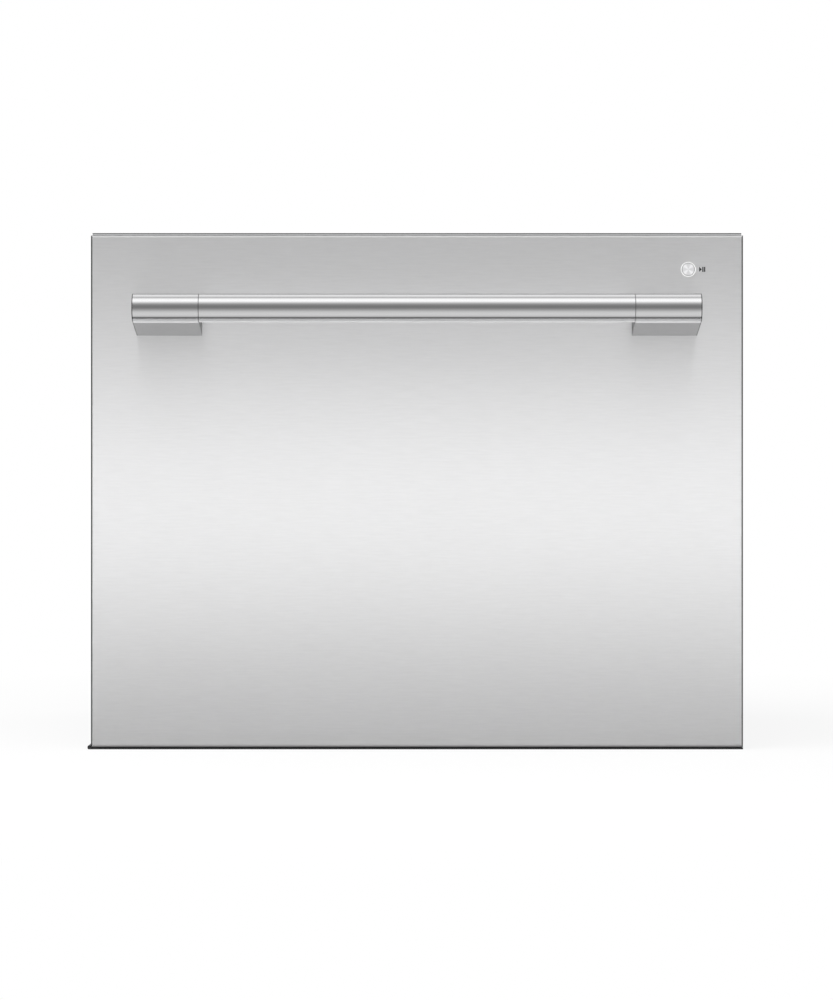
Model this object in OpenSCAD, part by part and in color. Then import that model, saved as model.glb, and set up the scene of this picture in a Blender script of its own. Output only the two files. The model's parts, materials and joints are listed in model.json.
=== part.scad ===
// Built-in dishwasher drawer, tall single size, drawn shut.
// +X is to the right of someone who faces it, +Y goes to the back and +Z is up.
// The modules measure Y from the face of the front panel; place() then moves the
// origin to the floor under the middle of the drawer, handle included.

/* [Overall] */
// Width of the front panel
front_w = 599; // [580:1:640]
// Height from the floor to the top of the control strip
total_h = 474; // [460:1:540]
// Depth from the face of the front panel to the back of the cabinet
total_d = 573; // [560:1:640]
// How far the drawer slides out
travel = 490; // [488:1:494]
// How far the lid drops to seal the tub
lid_travel = 8; // [4:0.5:9]

/* [Front panel] */
// Thickness of the stainless skin
skin_t = 0.9; // [0.7:0.1:1.5]
// Depth of the folded skin, front to back
skin_d = 20; // [18:0.5:26]
// Radius of the skin's folded edges
skin_r = 2.4; // [1.8:0.2:3]
// Gap between the skin and the drip strip's lip under it
skin_gap = 0.5; // [0.4:0.1:2]
// Height of the control strip that shows above the skin
cap_show = 1.9; // [1.9:0.1:4]
// Thickness of the plastic liner that closes the back of the front
liner_t = 2; // [1.5:0.1:3]
// Wall and rib thickness of the front's inner frame
frame_t = 2.5; // [2:0.1:4]
// Depth of the control strip's housing, top to bottom
cap_h = 17; // [15:1:24]

/* [Handle] */
// Radius of the handle bar
bar_r = 13; // [11:0.5:16]
// Distance from the side of the front to the end of the handle
bar_inset = 42.3; // [30:1:100]
// Length of each end post
post_len = 60; // [50:1:80]
// Distance from the panel to the bar's axis
bar_reach = 50; // [40:1:60]
// Distance from the top of the drawer down to the bar's axis
bar_drop = 71.4; // [60:1:160]
// How far the foot of a post drops below the bar's axis
post_drop = 22.8; // [16:0.5:28]
// Hairline gap between the bar and a post
bar_joint = 0.4; // [0.2:0.1:1]
// Radius of the bar's spigot inside a post
spigot_r = 9; // [7:0.5:10]
// Length of that spigot
spigot_len = 14; // [8:1:24]

/* [Button] */
// Radius of the start button
button_r = 5.9; // [5:0.1:8]
// Width of the bright ring round it
bezel_w = 0.85; // [0.6:0.05:2]
// Distance from the right edge of the front to the middle of the button
button_inset = 50.4; // [46:1:70]
// Distance from the top of the drawer down to the button
button_drop = 33.3; // [32:0.5:40]
// Travel of the start button
button_travel = 1; // [0.5:0.1:1.2]
// Travel of a key in the control strip
key_travel = 0.8; // [0.4:0.1:0.9]

/* [Cabinet] */
// Thickness of the cabinet's steel sheet
sheet = 1.2; // [1:0.1:1.6]
// How much narrower the cabinet is than the front, each side
cabinet_inset = 2.5; // [2:0.5:6]
// Gap between the shut front and the cabinet's front edge
door_gap = 2; // [1.5:0.1:4]
// How far the cabinet's top lies below the top of the drawer
cabinet_drop = 4; // [3:0.5:8]
// Width of the flanges folded inwards
flange = 12; // [10:0.5:12]
// Depth of the pressed stiffening beads
bead_d = 3; // [2:0.5:4]
// Height of the skids on the floor, and of the drip strip under the cabinet
strip_h = 2.6; // [2:0.2:6]
// Height of the drip strip's lip, which shows under the front
lip_h = 1.4; // [1:0.1:1.8]
// How far the drip strip runs past the left edge of the front
strip_over = 3.1; // [3:0.1:4]
// Height of the bead at the drip strip's left end
strip_bead_h = 3.6; // [3:0.1:5]

/* [Tub] */
// Wall of the moulded tub
tub_wall = 3.5; // [3:0.1:5]
// Room for a runner between the tub and the cabinet's side
side_room = 28.8; // [27:0.2:34]
// Room behind the tub
rear_room = 33; // [31:1:60]
// Room between the front's liner and the tub
front_room = 14; // [13:0.5:20]
// Height of the machine bay under the tub
bay_h = 92; // [88:1:110]
// Radius of the tub's upright corners
tub_corner = 45; // [40:1:60]
// Radius round the tub's floor
tub_foot_r = 30; // [20:1:34]
// Width of the rim that the lid seals on
rim_w = 12; // [10:0.5:13]
// Radius of the sump
sump_r = 52; // [48:1:54]
// Depth of the sump
sump_d = 30; // [28:1:34]

/* [Lid] */
// Height of the lid with its seal
lid_h = 18; // [16:0.5:22]
// Gap left over the rim when the lid is down
lid_rest_gap = 0.3; // [0.2:0.1:1]
// Room over the raised lid
lid_headroom = 11.5; // [10:0.5:16]
// Height of the lid's rubber seal
seal_h = 5; // [4:0.5:7]
// Width of that seal
seal_w = 8; // [6:0.5:8]

/* [Runners] */
// How much longer a runner is than its travel
runner_spare = 10; // [10:0.5:11]
// Height of a runner's axis above the floor
runner_z = 235; // [160:1:300]
// Height of a runner's outer channel
runner_h = 45; // [43:1:50]

/* [Basket] */
// Radius of the basket's wires
wire_r = 2; // [1.6:0.1:2.2]
// Radius of the basket's top rim
rim_wire_r = 2.5; // [2.2:0.1:3]
// Height of the lower floor wires' axis above the floor
basket_z = 138; // [137:1:150]
// Distance from the tub's rim down to the basket's top rim
basket_drop = 141; // [139:1:150]
// Distance between the basket and the tub's wall, each side
basket_gap = 27.5; // [27:0.5:34]
// Height of a folding tine
tine_h = 83; // [60:1:90]
// Height of a fixed tine
short_tine_h = 58; // [40:1:70]
// Radius of a tine
tine_r = 1.7; // [1.4:0.1:2]

/* [Wash system] */
// Length of the spray arm from its axis to a tip
arm_r = 212; // [180:1:216]
// Number of jets on each wing
jets = 8; // [5:1:8]
// Radius of the spindle that the spray arm turns on
spindle_r = 8; // [7:0.5:9]
// Radius of the filter plate
filter_r = 140; // [136:1:150]
// Radius of the drain filter
drain_r = 24; // [22:1:26]
// Number of impeller blades
blades = 7; // [4:1:9]

/* [Hidden] */
$fn = 48;

// Widths
front_x = front_w / 2;
button_x = front_x - button_inset;
cab_x = front_x - cabinet_inset;
cab_in_x = cab_x - sheet;
tub_x = cab_in_x - side_room;
tub_in_x = tub_x - tub_wall;
rim_x = tub_x + rim_w;

// Depths, from the face of the front panel
liner_y = skin_d + liner_t;
cab_y0 = liner_y + door_gap;
tub_y0 = liner_y + front_room;
tub_y1 = total_d - rear_room;
tub_yc = (tub_y0 + tub_y1) / 2;
tub_dep = tub_y1 - tub_y0;
rim_y0 = liner_y + 0.2;
rim_y1 = tub_y1 + rim_w;
origin_y = (total_d - bar_reach - bar_r) / 2;

// Heights
skin_z0 = lip_h + skin_gap;
skin_z1 = total_h - cap_show;
cap_z0 = skin_z1 - cap_h;
cab_top = total_h - cabinet_drop;
rim_z = cab_top - sheet - lid_headroom - lid_h - lid_travel - lid_rest_gap;
seal_z = rim_z + lid_rest_gap + lid_travel;
lid_top = seal_z + lid_h;
tub_floor = bay_h + tub_wall;
sump_z = tub_floor - sump_d;
bar_z = total_h - bar_drop;
button_z = total_h - button_drop;

// Clearances
run_gap = 0.06;
slack = 0.3;

// Handle posts and their screws
post_x1 = front_x - bar_inset;
post_x0 = post_x1 - post_len;
screw_r = 2.5;
screw_sink = 18;
screw_x = [post_x0 + spigot_len + 10, post_x1 - 9];
screw_head_r = 5;
screw_head_h = 3.2;
screw_drop = 4;

// Control strip
cap_y0 = 1.3;
cap_wall_y = 4;
cap_x = front_x - 1.6;
cap_wall = 2;
cap_wall_x = front_x - 6;
hem_d = 3.6;
key_w = 16;
key_d = 9;
key_y = (cap_y0 + liner_y) / 2 + 0.5;
key_x = [70, 96, 122, 148];
key_gap = 0.25;
window_w = 74;
window_x = -120;

// Runner section, from the cabinet's side inwards (u) and from the axis up (v)
channel_t = 1.4;
channel_u = 11.5;
lip = 4;
big_ball_r = 2.05;
big_ball_v = runner_h / 2 - channel_t - big_ball_r - 0.2;
mid_t = 1.3;
mid_u = [2.4, 10.5];
mid_v = big_ball_v - big_ball_r - 0.2;
small_ball_r = 1.55;
small_ball_v = mid_v - mid_t - small_ball_r - 0.2;
inner_u = [5.2, 12.7];
inner_v = small_ball_v - small_ball_r - 0.2;
ball_u = 6.9;
runner_y0 = cab_y0 + 6;
runner_len = travel + runner_spare;
cage_y = [runner_y0 + 130, runner_y0 + 320];
balls_per_cage = 9;

// Rack and pinion that move the lid
gear_teeth = 18;
gear_m = 1;
gear_r = gear_m * gear_teeth / 2;
gear_backlash = 0.24;
rack_pitch_y = tub_yc + 2.25;
gear_y = rack_pitch_y + gear_r + 0.1;
gear_z = seal_z - 14;
yoke_x = [rim_x + 1, rim_x + 3.8];
yoke_y = [rack_pitch_y - 26, rack_pitch_y - 1.25];
yoke_z = [gear_z - 14, gear_z + 27];
actuator_z = gear_z - 48;
lid_x = rim_x - 2.5;

// Lip of the cabinet's floor tray along its sides
side_lip = 20;

// Basket
basket_x = tub_in_x - basket_gap;
basket_y = [tub_y0 + tub_wall + 22.5, tub_y1 - tub_wall - 22.5];
wire_gap = 0.05;
bend_r = 10;
top_wire_z = basket_z + 2 * wire_r + wire_gap;
wire_top = top_wire_z + wire_r;
rim_wire_z = rim_z - basket_drop;
cross_n = 8;
cross_y = [for (i = [0:cross_n - 1]) basket_y[0] + 16 + i * (basket_y[1] - basket_y[0] - 32) / (cross_n - 1)];
long_n = 9;
long_pitch = (2 * basket_x - 32) / (long_n - 1);
long_x = [for (i = [0:long_n - 1]) (i - (long_n - 1) / 2) * long_pitch];
rim_dx = basket_x + wire_r + rim_wire_r + wire_gap;
low_rim_z = (basket_z + rim_wire_z) / 2;

// Folding tines
fold_x = 2 * long_pitch;
fold_rod_r = 2.2;
fold_z = wire_top + fold_rod_r + 3.7;
tine_pitch = 34;
tine_n = 10;
tine_y0 = basket_y[0] + 108;
tine_y = [for (i = [0:tine_n - 1]) tine_y0 + i * tine_pitch];
clip_y = [for (row = [0, tine_n / 2, tine_n]) tine_y0 + (row - 0.5) * tine_pitch];
clip_w = 8;

// Cup racks
cup_depth = 112;
cup_t = 3;
cup_y = [cross_y[0] + 12, cross_y[cross_n - 1] - 12];
clip_r = 5;
cup_clip_w = 16;
cup_clip_y = [for (i = [0:2:cross_n - 2]) (cross_y[i] + cross_y[i + 1]) / 2];
cup_z = rim_wire_z + rim_wire_r + 0.8;

// Wash system
plate_z = tub_floor + 4;
plate_t = 2.5;
arm_z = tub_floor + 9;
arm_hub_h = 22;
arm_top = arm_z + arm_hub_h;
drain_ring_r = 108;
ctrl_x = 70;
ctrl_size = [150, 82, 48];
drain_x = drain_ring_r * cos(-50);
drain_y = tub_yc + drain_ring_r * sin(-50);

// Dispenser
disp_w = 156;
disp_h = 88;
disp_d = 22;
disp_z = rim_z - 24 - disp_h;
disp_y = tub_y0 + tub_wall;
flap_w = 66;
flap_h = 54;
flap_x = -34;
flap_z = disp_z + 16;
flap_t = 3;
cap_dial_x = 44;
cap_dial_r = 17;

// Fixings to the kitchen cabinet, on each side
fix_r = 2.4;
fix_y = [cab_y0 + 24, total_d - 60];
fix_z = [bay_h - 22, rim_z - 62];

// Connections at the back
inlet_inset = 92;
inlet_x = inlet_inset - cab_x;
inlet_z = 34;
inlet_r = 13.2;
port_pitch = 75;
drain_out_x = inlet_x + port_pitch;
drain_out_r = 9;
gland_inset = 132;
gland_x = cab_x - gland_inset;
power_box_size = [72, 36, 44];
gland_r = 5;
back_y = total_d;

// ---------- helpers ----------

// A box from its low corner to its high corner
module span(a, b) {
  translate(a) cube(b - a);
}

// A profile drawn in Y and Z, run along X
module along_x(x0, x1) {
  translate([x0, 0, 0]) rotate([90, 0, 90]) linear_extrude(x1 - x0) children();
}

// A profile drawn in X and Z, run along Y
module along_y(y0, y1) {
  translate([0, y1, 0]) rotate([90, 0, 0]) linear_extrude(y1 - y0) children();
}

module rod_x(x0, x1, y, z, r) {
  translate([x0, y, z]) rotate([0, 90, 0]) cylinder(r = r, h = x1 - x0);
}

module rod_y(y0, y1, x, z, r) {
  translate([x, y0, z]) rotate([-90, 0, 0]) cylinder(r = r, h = y1 - y0);
}

module rod_z(z0, z1, x, y, r) {
  translate([x, y, z0]) cylinder(r = r, h = z1 - z0);
}

module rrect(w, d, r) {
  square([w - 2 * r, d], center = true);
  square([w, d - 2 * r], center = true);
  for (sx = [-1, 1], sy = [-1, 1])
    translate([sx * (w / 2 - r), sy * (d / 2 - r)]) circle(r = r);
}

// A slot of the given length, along the first axis of the sketch
module pill(l, r) {
  square([l - 2 * r, 2 * r], center = true);
  for (s = [-1, 1]) translate([s * (l / 2 - r), 0]) circle(r = r);
}

module both_sides() {
  children();
  mirror([1, 0, 0]) children();
}

module left_hand() {
  mirror([1, 0, 0]) children();
}

module place() {
  translate([0, -origin_y, 0]) children();
}

// ---------- cabinet ----------

// Beads of a side panel, spread over the room below and above its runner
bead_room = [[strip_h + side_lip, runner_z - runner_h / 2 - 4], [runner_z + runner_h / 2 + 4, actuator_z]];
bead_z = [for (room = bead_room, share = [0.4, 0.76]) room[0] + share * (room[1] - room[0])];

module side_panel() {
  z0 = strip_h;
  z1 = cab_top - sheet;
  y1 = total_d - sheet;
  bead_len = total_d - cab_y0 - 130;
  bead_y = (cab_y0 + total_d) / 2;
  color("gainsboro") difference() {
    union() {
      span([cab_in_x, cab_y0, z0], [cab_x, y1, z1]);
      span([cab_x - flange, cab_y0, z0], [cab_x, cab_y0 + sheet, z1]);
      span([cab_x - flange, y1 - sheet, z0], [cab_x, y1, z1]);
      span([cab_x - flange, cab_y0, z1 - sheet], [cab_x, y1, z1]);
      for (z = bead_z)
        along_x(cab_in_x - bead_d, cab_x) translate([bead_y, z]) pill(bead_len, 9);
    }
    for (z = bead_z)
      along_x(cab_x - bead_d, cab_x + 1) translate([bead_y, z]) pill(bead_len - 2 * sheet, 9 - sheet);
    // The runner's moving parts leave through this notch
    span([cab_x - flange - 1, cab_y0 - 1, runner_z - runner_h / 2 - 4],
         [cab_in_x, cab_y0 + sheet + 1, runner_z + runner_h / 2 + 4]);
    for (y = fix_y, z = fix_z) rod_x(cab_x - 6, cab_x + 1, y, z, fix_r);
  }
}

// The tray stands inside the side panels' flanges
module base_tray() {
  x = cab_in_x;
  y0 = cab_y0 + sheet;
  y1 = total_d - 2 * sheet;
  front_lip = 8;
  bead_y = [for (i = [0:3]) cab_y0 + 70 + i * (total_d - cab_y0 - 150) / 3];
  color("dimgray") difference() {
    union() {
      span([-x, y0, strip_h], [x, y1, strip_h + sheet]);
      both_sides() span([x - sheet, y0, strip_h], [x, y1, strip_h + side_lip]);
      span([-x, y0, strip_h], [x, y0 + sheet, strip_h + front_lip]);
      for (y = bead_y)
        translate([0, y, strip_h]) linear_extrude(sheet + bead_d) pill(2 * x - 80, 11);
    }
    for (y = bead_y)
      translate([0, y, strip_h - 1]) linear_extrude(bead_d + 1) pill(2 * x - 80 - 2 * sheet, 11 - sheet);
  }
}

module rear_panel() {
  y0 = total_d - sheet;
  z0 = strip_h;
  z1 = cab_top - sheet;
  bay_x = [-cab_x + 40, cab_x - 60];
  color("gainsboro") difference() {
    union() {
      span([-cab_x, y0, z0], [cab_x, total_d, z1]);
      for (x = [-cab_x / 2, cab_x / 2])
        along_y(y0 - bead_d, total_d) translate([x, (bay_h + z1) / 2]) rotate(90) pill(z1 - bay_h - 90, 16);
    }
    for (x = [-cab_x / 2, cab_x / 2])
      along_y(y0 + sheet - bead_d, total_d + 1) translate([x, (bay_h + z1) / 2]) rotate(90)
        pill(z1 - bay_h - 90 - 2 * sheet, 16 - sheet);
    // Service opening for the hoses and the mains lead
    span([bay_x[0], y0 - 1, z0 - 1], [bay_x[1], total_d + 1, bay_h - 30]);
    // Louvres that let the machine bay breathe
    for (i = [-6:6])
      along_y(y0 - 1, total_d + 1) translate([i * 14, bay_h + 6]) rotate(90) pill(36, 2.5);
  }
}

module top_panel() {
  z0 = cab_top - sheet;
  bead_y = [for (i = [0:3]) cab_y0 + 80 + i * (total_d - cab_y0 - 150) / 3];
  bead_len = 2 * cab_x - 110;
  bead_r = 14;
  color("gainsboro") difference() {
    union() {
      span([-cab_x, cab_y0, z0], [cab_x, total_d, cab_top]);
      for (y = bead_y) translate([0, y, z0 - bead_d]) linear_extrude(sheet + bead_d) pill(bead_len, bead_r);
    }
    for (y = bead_y)
      translate([0, y, cab_top - bead_d]) linear_extrude(bead_d + 1) pill(bead_len - 2 * sheet, bead_r - sheet);
  }
}

// Folded channel that stiffens the cabinet's mouth over the lid
module front_rail() {
  x = cab_x - flange - 0.2;
  z1 = cab_top - sheet;
  z0 = lid_top + 1.6;
  d = 26;
  color("gainsboro") difference() {
    span([-x, cab_y0, z0], [x, cab_y0 + d, z1]);
    span([-x - 1, cab_y0 + sheet, z0 + sheet], [x + 1, cab_y0 + d + 1, z1 - sheet]);
  }
}

module base_skids() {
  color([0.08, 0.08, 0.09])
    both_sides() translate([cab_x - 70, 0, 0]) linear_extrude(strip_h)
      translate([0, (cab_y0 + 14 + total_d) / 2]) rotate(90) pill(total_d - cab_y0 - 60, 15);
}

// Black strip under the cabinet's front edge: its lip shows as a line under the
// front and ends on the left in a bead that stands clear of the skin
module drip_strip() {
  bead_r = (strip_over - slack) / 2;
  bead_x = -front_x - slack - bead_r;
  y0 = 1;
  y1 = cab_y0 + 12;
  color([0.03, 0.03, 0.03]) union() {
    span([bead_x, y0, 0], [front_x, y1, lip_h]);
    span([-cab_x, cab_y0, 0], [cab_x, y1, strip_h]);
    along_y(y0, cab_y0 + 4) translate([bead_x, strip_bead_h / 2]) rotate(90) pill(strip_bead_h, bead_r);
  }
}

// Soft strips that the shut front rests on
module door_gasket() {
  notch = runner_h / 2 + 8;
  color([0.12, 0.12, 0.13]) both_sides()
    for (z = [[skin_z0 + 16, runner_z - notch], [runner_z + notch, cap_z0 - 8]])
      along_y(liner_y + slack, cab_y0)
        translate([cab_x - flange / 2, (z[0] + z[1]) / 2]) rotate(90) pill(z[1] - z[0], 3);
}

module cabinet_screws() {
  head_r = 3.4;
  head_h = 1.8;
  color("silver") {
    // Down through the top panel into the side flanges
    both_sides() for (y = [cab_y0 + 20, tub_yc, total_d - 24])
      rod_z(cab_top, cab_top + head_h, cab_x - 6, y, head_r);
    // Down into the machine bay's tray, beside the skids
    both_sides() for (y = [cab_y0 + 40, total_d - 40])
      rod_z(strip_h + sheet, strip_h + sheet + head_h, cab_in_x - 12, y, head_r);
  }
}

module runner_outer() {
  x = cab_in_x;
  h = runner_h / 2;
  color("silver") along_y(runner_y0, runner_y0 + runner_len) translate([x, runner_z]) union() {
    translate([-channel_t, -h]) square([channel_t, 2 * h]);
    for (s = [0, 1]) mirror([0, s]) {
      translate([-channel_u, h - channel_t]) square([channel_u, channel_t]);
      translate([-channel_u, h - lip]) square([channel_t, lip]);
    }
  }
}

module runner_mid() {
  x = cab_in_x;
  color("silver") along_y(runner_y0, runner_y0 + runner_len) translate([x, runner_z]) union() {
    translate([-mid_u[0] - mid_t, -mid_v]) square([mid_t, 2 * mid_v]);
    for (s = [0, 1]) mirror([0, s])
      translate([-mid_u[1], mid_v - mid_t]) square([mid_u[1] - mid_u[0], mid_t]);
  }
}

module runner_inner() {
  x = cab_in_x;
  color("silver") along_y(runner_y0, runner_y0 + runner_len) translate([x, runner_z]) union() {
    translate([-inner_u[1], -inner_v]) square([mid_t, 2 * inner_v]);
    for (s = [0, 1]) mirror([0, s])
      translate([-inner_u[1], inner_v - mid_t]) square([inner_u[1] - inner_u[0], mid_t]);
  }
}

function ball_y(i) = cage_y[0] + 10 + i * (cage_y[1] - cage_y[0] - 20) / (balls_per_cage - 1);

module ball_row(v, r) {
  for (i = [0:balls_per_cage - 1])
    translate([cab_in_x - ball_u, ball_y(i), runner_z + v]) sphere(r = r);
}

// Retainer strips of one ball train, above and below the axis on both sides, with their balls
module ball_cages(v, r) {
  color("silver") both_sides() for (s = [-1, 1]) {
    difference() {
      span([cab_in_x - ball_u - r - 0.6, cage_y[0], runner_z + s * v - 0.9],
           [cab_in_x - ball_u + r + 0.6, cage_y[1], runner_z + s * v + 0.9]);
      ball_row(s * v, r + 0.15);
    }
    ball_row(s * v, r);
  }
}

// Involute pinion, as a polygon
function inv(a) = tan(a) * 180 / PI - a;
gear_base_r = gear_r * cos(20);
function flank(r) = 90 / gear_teeth - gear_backlash / (2 * gear_r) * 180 / PI
  + inv(20) - (r > gear_base_r ? inv(acos(gear_base_r / r)) : 0);
gear_root_r = gear_r - 1.25 * gear_m;
flank_r = concat([gear_root_r, gear_base_r], [for (rise = [-0.3, 0, 0.35, 0.7, 1]) gear_r + rise * gear_m]);
gear_points = [for (t = [0:gear_teeth - 1])
  let (mid = 180 + t * 360 / gear_teeth)
  for (p = concat([for (r = flank_r) [r, mid - flank(r)]],
                  [for (i = [len(flank_r) - 1:-1:0]) [flank_r[i], mid + flank(flank_r[i])]]))
    p[0] * [cos(p[1]), sin(p[1])]];

module lid_pinion() {
  along_x(yoke_x[0] + 0.1, yoke_x[1] - 0.1) translate([gear_y, gear_z]) polygon(gear_points);
  rod_x(yoke_x[1] - 0.1, yoke_x[1] + 8, gear_y, gear_z, 3);
}

module lid_pinions() {
  color("ivory") both_sides() lid_pinion();
}

rack_teeth = 7;
rack_tip = 0.95 * gear_m;
rack_half = PI * gear_m / 4 - gear_backlash / 4;

yoke_arm_z = yoke_z[1] - 7;

// Rack that hangs from its arm outside the tub's rim; a gap of the rack faces the pinion's axis
module lid_rack() {
  p = PI * gear_m;
  along_x(yoke_x[0], yoke_x[1]) union() {
    translate([yoke_y[0], yoke_z[0]]) square([yoke_y[1] - yoke_y[0], yoke_arm_z - run_gap - yoke_z[0]]);
    for (i = [0:rack_teeth - 1])
      translate([rack_pitch_y, gear_z + (i - 1.5) * p]) polygon([
        [-1.25 - 0.3, -rack_half - 1.25 * tan(20)], [-1.25, -rack_half - 1.25 * tan(20)],
        [rack_tip, -rack_half + rack_tip * tan(20)], [rack_tip, rack_half - rack_tip * tan(20)],
        [-1.25, rack_half + 1.25 * tan(20)], [-1.25 - 0.3, rack_half + 1.25 * tan(20)]]);
  }
}

// Arm at the lid's edge that the rack is bolted under
module lid_arm() {
  span([lid_x, yoke_y[0], yoke_arm_z], [yoke_x[1], yoke_y[1], yoke_z[1]]);
}

module lid_yokes() {
  color("lightgray") both_sides() {
    lid_rack();
    lid_arm();
  }
}

// Gearbox and motor that drive one side of the lid
module lid_actuator() {
  x0 = yoke_x[1] + 0.7;
  body_y = [gear_y - 20, gear_y + 34];
  body_z = [gear_z - 26, gear_z + 22];
  color([0.2, 0.2, 0.22]) difference() {
    union() {
      along_x(x0, cab_in_x) translate([(body_y[0] + body_y[1]) / 2, (body_z[0] + body_z[1]) / 2])
        rrect(body_y[1] - body_y[0], body_z[1] - body_z[0], 6);
      // Motor can, standing beside the gears
      rod_z(actuator_z, body_z[0] + 4, (x0 + cab_in_x) / 2, gear_y + 22, (cab_in_x - x0) / 2);
      // Screw ears
      for (z = [body_z[0] + 8, body_z[1] - 8])
        span([cab_in_x - 3, body_y[1] - 2, z - 6], [cab_in_x, body_y[1] + 12, z + 6]);
    }
    rod_x(x0 - 1, x0 + 9, gear_y, gear_z, 3 + run_gap);
    for (z = [body_z[0] + 8, body_z[1] - 8]) rod_x(cab_in_x - 4, cab_in_x + 1, body_y[1] + 6, z, 2);
  }
}

module inlet_valve() {
  y0 = back_y - 56;
  color([0.9, 0.9, 0.88]) difference() {
    union() {
      span([inlet_x - 20, y0, strip_h + sheet], [inlet_x + 20, y0 + 42, strip_h + sheet + 6]);
      span([inlet_x - 14, y0 + 6, strip_h + sheet], [inlet_x + 14, y0 + 34, inlet_z + 4]);
      rod_y(y0 + 30, back_y - 13, inlet_x, inlet_z, inlet_r + 3);
      rod_y(back_y - 13, back_y - 1, inlet_x, inlet_z, inlet_r);
      // Solenoid on top
      rod_z(inlet_z, inlet_z + 26, inlet_x, y0 + 20, 13);
      span([inlet_x - 5, y0 + 4, inlet_z + 26], [inlet_x + 5, y0 + 14, inlet_z + 32]);
    }
    rod_y(back_y - 16, back_y, inlet_x, inlet_z, inlet_r - 3.6);
  }
}

module drain_outlet() {
  y0 = back_y - 46;
  color([0.25, 0.25, 0.27]) difference() {
    union() {
      span([drain_out_x - 16, y0, strip_h + sheet], [drain_out_x + 16, y0 + 20, strip_h + sheet + 5]);
      span([drain_out_x - 4, y0 + 4, strip_h + sheet], [drain_out_x + 4, y0 + 16, inlet_z]);
      rod_y(y0, back_y - 26, drain_out_x, inlet_z, drain_out_r + 3);
      rod_y(back_y - 26, back_y - 1, drain_out_x, inlet_z, drain_out_r);
    }
    rod_y(y0 - 1, back_y, drain_out_x, inlet_z, drain_out_r - 2.2);
  }
}

module power_box() {
  box = power_box_size;
  y1 = back_y - 8;
  y0 = y1 - box[1];
  z0 = strip_h + sheet;
  entry_x = gland_x + box[0] / 2 - 20;
  color([0.16, 0.16, 0.17]) difference() {
    union() {
      translate([gland_x, (y0 + y1) / 2, z0]) linear_extrude(box[2]) rrect(box[0], box[1], 4);
      rod_y(y1 - 1, back_y - 1, entry_x, inlet_z, gland_r + 4);
      // Bosses of the screws in its lid
      for (s = [-1, 1]) rod_z(z0 + box[2], z0 + box[2] + 2, gland_x + s * (box[0] / 2 - 8), y0 + 10, 4);
    }
    rod_y(y1 - 12, back_y, entry_x, inlet_z, gland_r);
  }
}

// ---------- lid ----------

lid_y = [rim_y0 + 3, rim_y1 - 2.5];
lid_yc = (lid_y[0] + lid_y[1]) / 2;
lid_dep = lid_y[1] - lid_y[0];
lid_corner = tub_corner + 6;

module lid() {
  z0 = seal_z + seal_h - 1.5;
  plate_z = seal_z + seal_h + 1.5;
  skirt_t = 2.5;
  rib_t = 2;
  color([0.82, 0.83, 0.84]) translate([0, lid_yc, 0]) union() {
    translate([0, 0, plate_z - 1.5]) linear_extrude(4) rrect(2 * lid_x, lid_dep, lid_corner);
    difference() {
      translate([0, 0, z0]) linear_extrude(lid_top - z0) rrect(2 * lid_x, lid_dep, lid_corner);
      translate([0, 0, z0 - 1]) linear_extrude(lid_top - z0 + 2)
        rrect(2 * (lid_x - skirt_t), lid_dep - 2 * skirt_t, lid_corner - skirt_t);
    }
    // Waffle of stiffening ribs on top
    for (i = [-3:3])
      translate([i * 74, 0, 0])
        span([-rib_t / 2, -lid_dep / 2 + 2, plate_z], [rib_t / 2, lid_dep / 2 - 2, lid_top - 3]);
    for (j = [-3:3])
      span([-lid_x + 2, j * 68 - rib_t / 2, plate_z], [lid_x - 2, j * 68 + rib_t / 2, lid_top - 3]);
  }
}

module lid_seal() {
  out_x = rim_x - 4;
  out_d = rim_y1 - rim_y0 - 8;
  corner = tub_corner + 4;
  color([0.45, 0.46, 0.47]) translate([0, (rim_y0 + rim_y1) / 2, seal_z]) difference() {
    union() {
      linear_extrude(seal_h - 1.5) difference() {
        rrect(2 * out_x, out_d, corner);
        rrect(2 * (out_x - seal_w), out_d - 2 * seal_w, corner - seal_w);
      }
      // Root that is pushed up against the lid
      translate([0, 0, seal_h - 1.5]) linear_extrude(1.5) difference() {
        rrect(2 * (out_x - 2), out_d - 4, corner - 2);
        rrect(2 * (out_x - seal_w + 2), out_d - 2 * seal_w + 4, corner - seal_w + 2);
      }
    }
    // Groove between the seal's two lips
    translate([0, 0, -1]) linear_extrude(3) difference() {
      rrect(2 * (out_x - 3), out_d - 6, corner - 3);
      rrect(2 * (out_x - seal_w + 3), out_d - 2 * seal_w + 6, corner - seal_w + 3);
    }
  }
}

// ---------- front ----------

// A block with its front edges rounded: x across, y into the front, z up
module panel_block(x, y1, z0, z1, r) {
  intersection() {
    translate([0, 0, z0]) linear_extrude(z1 - z0) union() {
      translate([-x, r]) square([2 * x, y1 - r]);
      translate([-x + r, 0]) square([2 * (x - r), r + 1]);
      for (s = [-1, 1]) translate([s * (x - r), r]) circle(r = r);
    }
    along_x(-x - 1, x + 1) union() {
      translate([r, z0]) square([y1 - r, z1 - z0]);
      translate([0, z0 + r]) square([r + 1, z1 - z0 - 2 * r]);
      for (z = [z0 + r, z1 - r]) translate([r, z]) circle(r = r);
    }
  }
}

module front_skin() {
  color([0.72, 0.72, 0.73]) difference() {
    panel_block(front_x, skin_d, skin_z0, skin_z1, skin_r);
    translate([0, skin_t, 0])
      panel_block(front_x - skin_t, skin_d + 5, skin_z0 + skin_t, skin_z1 - skin_t, skin_r - skin_t);
    // The control strip's housing comes up through the open top
    span([-cap_wall_x - 0.3, hem_d, skin_z1 - 5], [cap_wall_x + 0.3, skin_d + 1, skin_z1 + 1]);
    rod_y(-1, 3, button_x, button_z, button_r + bezel_w + 0.25);
    both_sides() for (x = screw_x) rod_y(-1, 3, x, bar_z - screw_drop, screw_r + 0.2);
  }
}

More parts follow.
